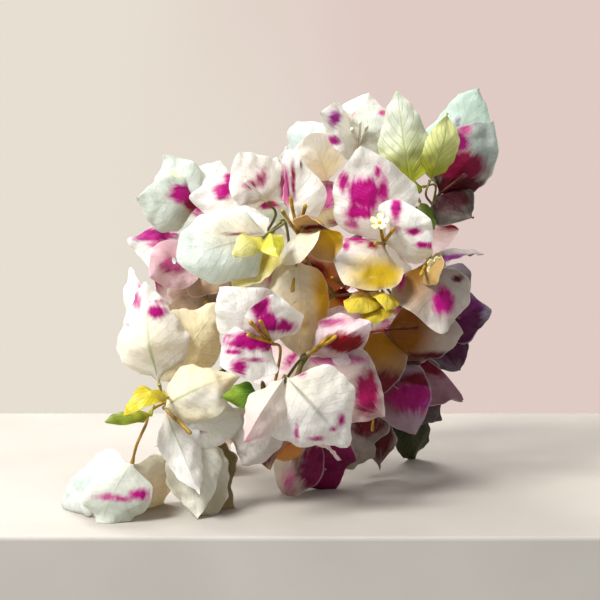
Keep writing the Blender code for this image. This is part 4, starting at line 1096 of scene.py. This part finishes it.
def star_shape():
    """The open star of the flower: five notched lobes round a small throat, cupped a little."""
    deselect_all()
    bpy.ops.mesh.primitive_circle_add(vertices=40, radius=STAR_RADIUS, fill_type="NGON")
    star = bpy.context.active_object
    star.name = "star"
    bpy.ops.object.mode_set(mode="EDIT")
    bpy.ops.mesh.select_all(action="SELECT")
    for inset in (1.3, 1.3, 0.9):
        bpy.ops.mesh.inset(thickness=inset)
    bpy.ops.object.mode_set(mode="OBJECT")
    for corner in star.data.vertices:
        reach = corner.co.xy.length / STAR_RADIUS
        angle = math.atan2(corner.co.y, corner.co.x)
        turn = LOBES / 2 * angle
        lobe = abs(math.cos(turn)) ** 0.7
        notch = 1 - NOTCH_DEPTH * math.exp(-(math.sin(turn) / NOTCH_WIDTH) ** 2) * reach ** 4
        corner.co.xy *= (1 - (1 - lobe) * LOBE_DEPTH * reach ** 1.5) * notch
        throat = THROAT_DEPTH * math.exp(-(reach / THROAT_SHARE) ** 2)
        corner.co.z = STAR_CUP * reach ** 2 - throat + LOBE_CURL * reach * math.cos(LOBES * angle)
    apply_modifier(star, "SOLIDIFY", thickness=STAR_THICKNESS, offset=0)
    smooth(star, 60)
    return star


def flower_shapes():
    """The repeated shapes of the true flower, each modelled once, and the skins of its tube."""
    skins = {
        "gold": flower_skin("waxy golden flower tube", "#7E6210", "#C2961E", 0.45),
        "pale": flower_skin("waxy pale flower tube", "#D9D6BE", "#EEECDC", 0.5),
        "wine": flower_skin("waxy wine-red flower tube", "#3A1412", "#5E2420", 0.45),
    }
    petal = flower_skin("open flower star", "#EDE7A4", "#F7F4CF", 0.5)
    throat = flower_skin("flower throat", "#C9A51E", "#E0C63A", 0.5)
    shapes = {
        "bud": tube_shape("bud", BUD_RINGS),
        "open": tube_shape("open tube", OPEN_RINGS),
        "star": star_shape(),
    }
    for part, finish in (("bud", skins["gold"]), ("open", skins["gold"]), ("star", petal)):
        give_finish(shapes[part], finish)
    shapes["star"].data.materials.append(throat)
    for face in shapes["star"].data.polygons:
        face.material_index = int(face.center.xy.length < THROAT_RADIUS)
    return shapes, skins


# Blooms whose flower tubes aren't golden
TUBE_SKINS = {
    "bloom_crown": "pale", "bloom_stripe": "pale", "bloom_west": "pale", "bloom_veil": "pale",
    "bloom_tip": "wine", "bloom_wine": "wine", "bloom_glow": "wine", "bloom_dusk": "wine",
}
STAR_SINK = 0.4  # how far the star sits down into the tube's mouth
TUBE_TURN = 1.3  # radians that each tube is turned on from the last


def flower_tube(name, shapes, skin, foot, way, star, seed):
    """A tube from the bloom's knot, closed as a bud or open with its star."""
    stand = Vector((0, 0, 1)).rotation_difference(way).to_matrix().to_4x4()
    turn = Matrix.Rotation(seed * TUBE_TURN, 4, "Z")
    place = Matrix.Translation((foot - FOOTPRINT_CENTRE) * MM) @ stand @ turn @ Matrix.Scale(MM, 4)
    end = way.length * TUBE_END
    tube = copy_of(shapes["open" if star else "bud"], name)
    tube.data.materials[0] = skin
    tube.data.transform(place @ Matrix.Diagonal((1, 1, end / TUBE_LENGTH, 1)))
    parts = [tube]
    if star:
        lobes = copy_of(shapes["star"], name + " star")
        lobes.data.transform(place @ Matrix.Translation((0, 0, end - STAR_SINK)))
        parts.append(lobes)
    return parts


def curve_through(points, steps):
    """A smooth run of points through those given."""
    points = [Vector(p) for p in points]
    padded = [2 * points[0] - points[1], *points, 2 * points[-1] - points[-2]]
    run = []
    for a, b, c, d in zip(padded, padded[1:], padded[2:], padded[3:]):
        for k in range(steps):
            t = k / steps
            run.append(0.5 * (2 * b + (c - a) * t + (2 * a - 5 * b + 4 * c - d) * t ** 2
                              + (3 * b - a - 3 * c + d) * t ** 3))
    return run + [points[-1]]


def stalk_points(twig_points, knot, radius, opens, via):
    """From the nearest twig to a knot, arriving along the way the bloom opens."""
    middle = [Vector(p) for p in via] or [knot - Vector(opens).normalized() * (STALK_CURVE + 3 * radius)]
    start = min(twig_points, key=lambda p: (p - middle[0]).length)
    return [start, *middle, knot]


FINE_STEPS, COARSE_STEPS = 6, 2  # points of a run between two of those given
STALK_SWELL = (1.25, 1.7)  # how much wider a stalk is at its last two points
STEM_SIDES = 2  # bevel resolution, which gives eight sides


def rod(name, run, radii, bark):
    """A round stem along a run of points, its radius given at each, in one bark colour."""
    curve = bpy.data.curves.new(name, "CURVE")
    curve.dimensions = "3D"
    curve.bevel_depth = MM
    curve.bevel_resolution = STEM_SIDES
    curve.use_fill_caps = True
    spline = curve.splines.new("POLY")
    spline.points.add(len(run) - 1)
    for point, place, radius in zip(spline.points, run, radii):
        point.co = (*((place - FOOTPRINT_CENTRE) * MM), 1)
        point.radius = radius
    stem = bpy.data.objects.new(name, curve)
    bpy.context.scene.collection.objects.link(stem)
    select_only(stem)
    bpy.ops.object.convert(target="MESH")
    stem = bpy.context.active_object
    merge_doubles(stem)
    smooth(stem, 50)
    colours = stem.data.color_attributes.new("bark", "FLOAT_COLOR", "POINT")
    for value in colours.data:
        value.color = linear(bark)
    return stem


def branch_runs():
    """The twigs, then a stalk for every bloom and leaf: points, foot radius, tip radius and bark colour."""
    runs = [(curve_through(points, FINE_STEPS), foot, tip, OLIVE_BARK) for points, foot, tip in TWIGS]
    coarse = [p for points, _, _ in TWIGS for p in curve_through(points, COARSE_STEPS)]
    along = []
    for name, bloom in BLOOMS.items():
        points = stalk_points(coarse, Vector(bloom.hub), KNOT, bloom.opens, bloom.via)
        bark = STALK_BARK.get(name, OLIVE_BARK)
        runs.append((curve_through(points, FINE_STEPS), STALK_RADIUS * 1.2, STALK_RADIUS, bark))
        along += curve_through(points, COARSE_STEPS)[1:-1]
    for name, leaf in LEAVES.items():
        way = Vector(leaf.tip) - Vector(leaf.base)
        points = stalk_points(coarse + along, Vector(leaf.base), LEAF_KNOT, way, leaf.via)
        bark = STALK_BARK.get(name, OLIVE_BARK)
        runs.append((curve_through(points, FINE_STEPS), STALK_RADIUS, STALK_RADIUS * 0.8, bark))
    return runs


def make_branch():
    stems = []
    for index, (run, foot, tip, bark) in enumerate(branch_runs()):
        last = len(run) - 1
        radii = [foot + (tip - foot) * k / last for k in range(len(run))]
        if index >= len(TWIGS):
            radii[-2:] = [radius * wider for radius, wider in zip(radii[-2:], STALK_SWELL)]
        stems.append(rod(f"stem {index}", run, radii, bark))
    branch = joined("branch_bark", stems)
    give_finish(branch, young_bark())
    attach(branch, "root")
    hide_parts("branch")


def make_bloom(name, bloom, sheet, shapes, finishes, seed):
    """One bloom: its three bracts and its flower tubes, as a single piece."""
    foot = Vector(bloom.hub)
    tree = corners_of(name)
    parts = []
    for index, bract in enumerate(bloom.bracts):
        bend = bend_of_blade(tree, foot, bract)
        paint = bract_paint(name, index, seed)
        parts.append(grown_blade(f"{name} bract {index}", sheet, foot, bract, bend,
                                 seed * 3 + index, BRACT_THICKNESS, finishes["bract"], paint))
    for index, bract in enumerate(bloom.bracts[:bloom.tubes]):
        star = index in bloom.stars
        bend = bend_of_tube(tree, foot, bloom.opens, bract, star)
        way = tube_way(bloom.opens, bract, foot, bend)
        skin = finishes[TUBE_SKINS.get(name, "gold")]
        parts += flower_tube(f"{name} tube {index}", shapes, skin, foot, way, star, seed + index)
    piece = joined(name + "_fine", parts)
    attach(piece, "root")
    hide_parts(name)


def make_leaf(name, leaf, sheet, finishes, seed):
    foot = Vector(leaf.base)
    bend = bend_of_blade(corners_of(name), foot, leaf)
    piece = grown_blade(name + "_fine", sheet, foot, leaf, bend,
                        seed, LEAF_THICKNESS, finishes["leaf"], leaf_paint(name))
    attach(piece, "root")
    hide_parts(name)


# The stage, in metres
SLAB_NEAR, SLAB_FAR, SLAB_SIDE, SLAB_DEEP = -0.0894, 0.178, 0.7, 0.08
SLAB_EDGE = 0.0015
WALL_AWAY, WALL_SIZE = 1.0, 5.0
ROOM_LIGHT = 0.64
KEY_PLACE, KEY_WIDTH, KEY_POWER = (-0.96, -0.8, 1.24), 0.64, 46
SKY_PLACE, SKY_WIDTH, SKY_POWER = (-0.4, 0.75, 1.2), 0.9, 20
LENS, SENSOR = 70, 36


def pale_plaster():
    """Smooth pale plaster: nearly matt, faintly clouded every 80 mm or so."""
    finish, tree, shader = new_finish("pale plaster")
    where = add_node(tree, "TexCoord").outputs["Object"]
    colour = clouded(tree, where, "#B2ACA4", "#ABA59C", Scale=12, Detail=5)
    feed(tree, shader, {"Base Color": colour, "Roughness": 0.8, "Specular IOR Level": 0.2})
    return finish


def painted_wall():
    """Evenly lit limewashed wall, out of focus: cream to the left, faintly pink to the right, no relief."""
    finish, tree, shader = new_finish("soft limewashed wall")
    tree.nodes.remove(shader)
    where = add_node(tree, "TexCoord").outputs["Object"]
    parts = add_node(tree, "SeparateXYZ", {"Vector": where})
    tall = add_node(tree, "Mapping", {"Vector": where, "Scale": (3.2, 1, 0.9)})
    cloud = add_node(tree, "TexNoise", {"Vector": tall, "Scale": 1.0, "Detail": 1})
    drift = add_node(tree, "Math", {0: cloud, 1: 0.7, 2: parts.outputs["X"]}, operation="MULTIPLY_ADD")
    share = add_node(tree, "MapRange", {"Value": drift, "From Min": 0.1, "From Max": 0.62},
                     interpolation_type="SMOOTHSTEP")
    colour = coats(tree, linear("#E7DFD2"), [(share, linear("#DFCBC4"))])
    glow = add_node(tree, "Emission", {"Color": colour, "Strength": 1.0})
    feed(tree, tree.nodes["Material Output"], {"Surface": glow})
    return finish


def soft_light(name, place, aim, size, power, colour):
    lamp = bpy.data.lights.new(name, "AREA")
    lamp.shape = "DISK"
    lamp.size = size
    lamp.energy = power
    lamp.color = colour
    light = bpy.data.objects.new(name, lamp)
    bpy.context.scene.collection.objects.link(light)
    light.location = place
    light.rotation_euler = (Vector(aim) - Vector(place)).to_track_quat("-Z", "Y").to_euler()


def pale_room():
    """Even white light from all round, dimmer than the wall behind."""
    world = bpy.data.worlds.new("pale room")
    bpy.context.scene.world = world
    world.use_nodes = True
    background = world.node_tree.nodes["Background"]
    feed(world.node_tree, background, {"Color": linear("#F1F3F6"), "Strength": ROOM_LIGHT})


def stage():
    """A pale slab before a painted wall, a soft key light from the upper left, and the camera."""
    deselect_all()
    bpy.ops.mesh.primitive_cube_add(size=1)
    slab = bpy.context.active_object
    slab.name = "slab"
    bpy.ops.transform.resize(value=(2 * SLAB_SIDE, SLAB_FAR - SLAB_NEAR, SLAB_DEEP))
    bpy.ops.transform.translate(value=(0, (SLAB_FAR + SLAB_NEAR) / 2, -SLAB_DEEP / 2))
    bpy.ops.object.transform_apply(location=True, scale=True)
    apply_modifier(slab, "BEVEL", width=SLAB_EDGE, segments=3)
    slab.data.materials.append(pale_plaster())

    deselect_all()
    bpy.ops.mesh.primitive_plane_add(size=WALL_SIZE)
    wall = bpy.context.active_object
    wall.name = "wall"
    bpy.ops.transform.rotate(value=math.radians(90), orient_axis="X", center_override=(0, 0, 0))
    bpy.ops.transform.translate(value=(0, WALL_AWAY, 0))
    bpy.ops.object.transform_apply(location=True, rotation=True)
    wall.data.materials.append(painted_wall())

    soft_light("key light", KEY_PLACE, (0, 0, 0.08), KEY_WIDTH, KEY_POWER, (1.0, 1.0, 0.99))
    soft_light("sky light", SKY_PLACE, (0, 0, 0.1), SKY_WIDTH, SKY_POWER, (0.97, 0.99, 1.0))
    pale_room()
    eye = bpy.data.objects.new("camera", bpy.data.cameras.new("camera"))
    bpy.context.scene.collection.objects.link(eye)
    eye.data.lens = LENS
    eye.data.sensor_width = SENSOR
    eye.data.clip_start = 0.01
    eye.location = (VIEW_PLACE - FOOTPRINT_CENTRE) * MM
    eye.rotation_euler = (math.radians(90) - VIEW_PITCH, 0, 0)
    bpy.context.scene.camera = eye
    bpy.context.scene.view_settings.view_transform = "Standard"


SHEET_ACROSS, SHEET_ALONG = 22, 34  # faces across and along a blade
LEAF_SEEDS = 60  # where the leaves' seeds start, past those of the blooms


def main():
    finishes = {"bract": papery_bract(), "leaf": living_leaf()}
    sheet = paper_sheet(SHEET_ACROSS, SHEET_ALONG)
    shapes, skins = flower_shapes()
    finishes.update(skins)
    make_branch()
    for seed, (name, bloom) in enumerate(BLOOMS.items()):
        make_bloom(name, bloom, sheet, shapes, finishes, seed + 1)
    for seed, (name, leaf) in enumerate(LEAVES.items()):
        make_leaf(name, leaf, sheet, finishes, seed + LEAF_SEEDS)
    for shape in [sheet, *shapes.values()]:
        bpy.data.objects.remove(shape)
    stage()


main()
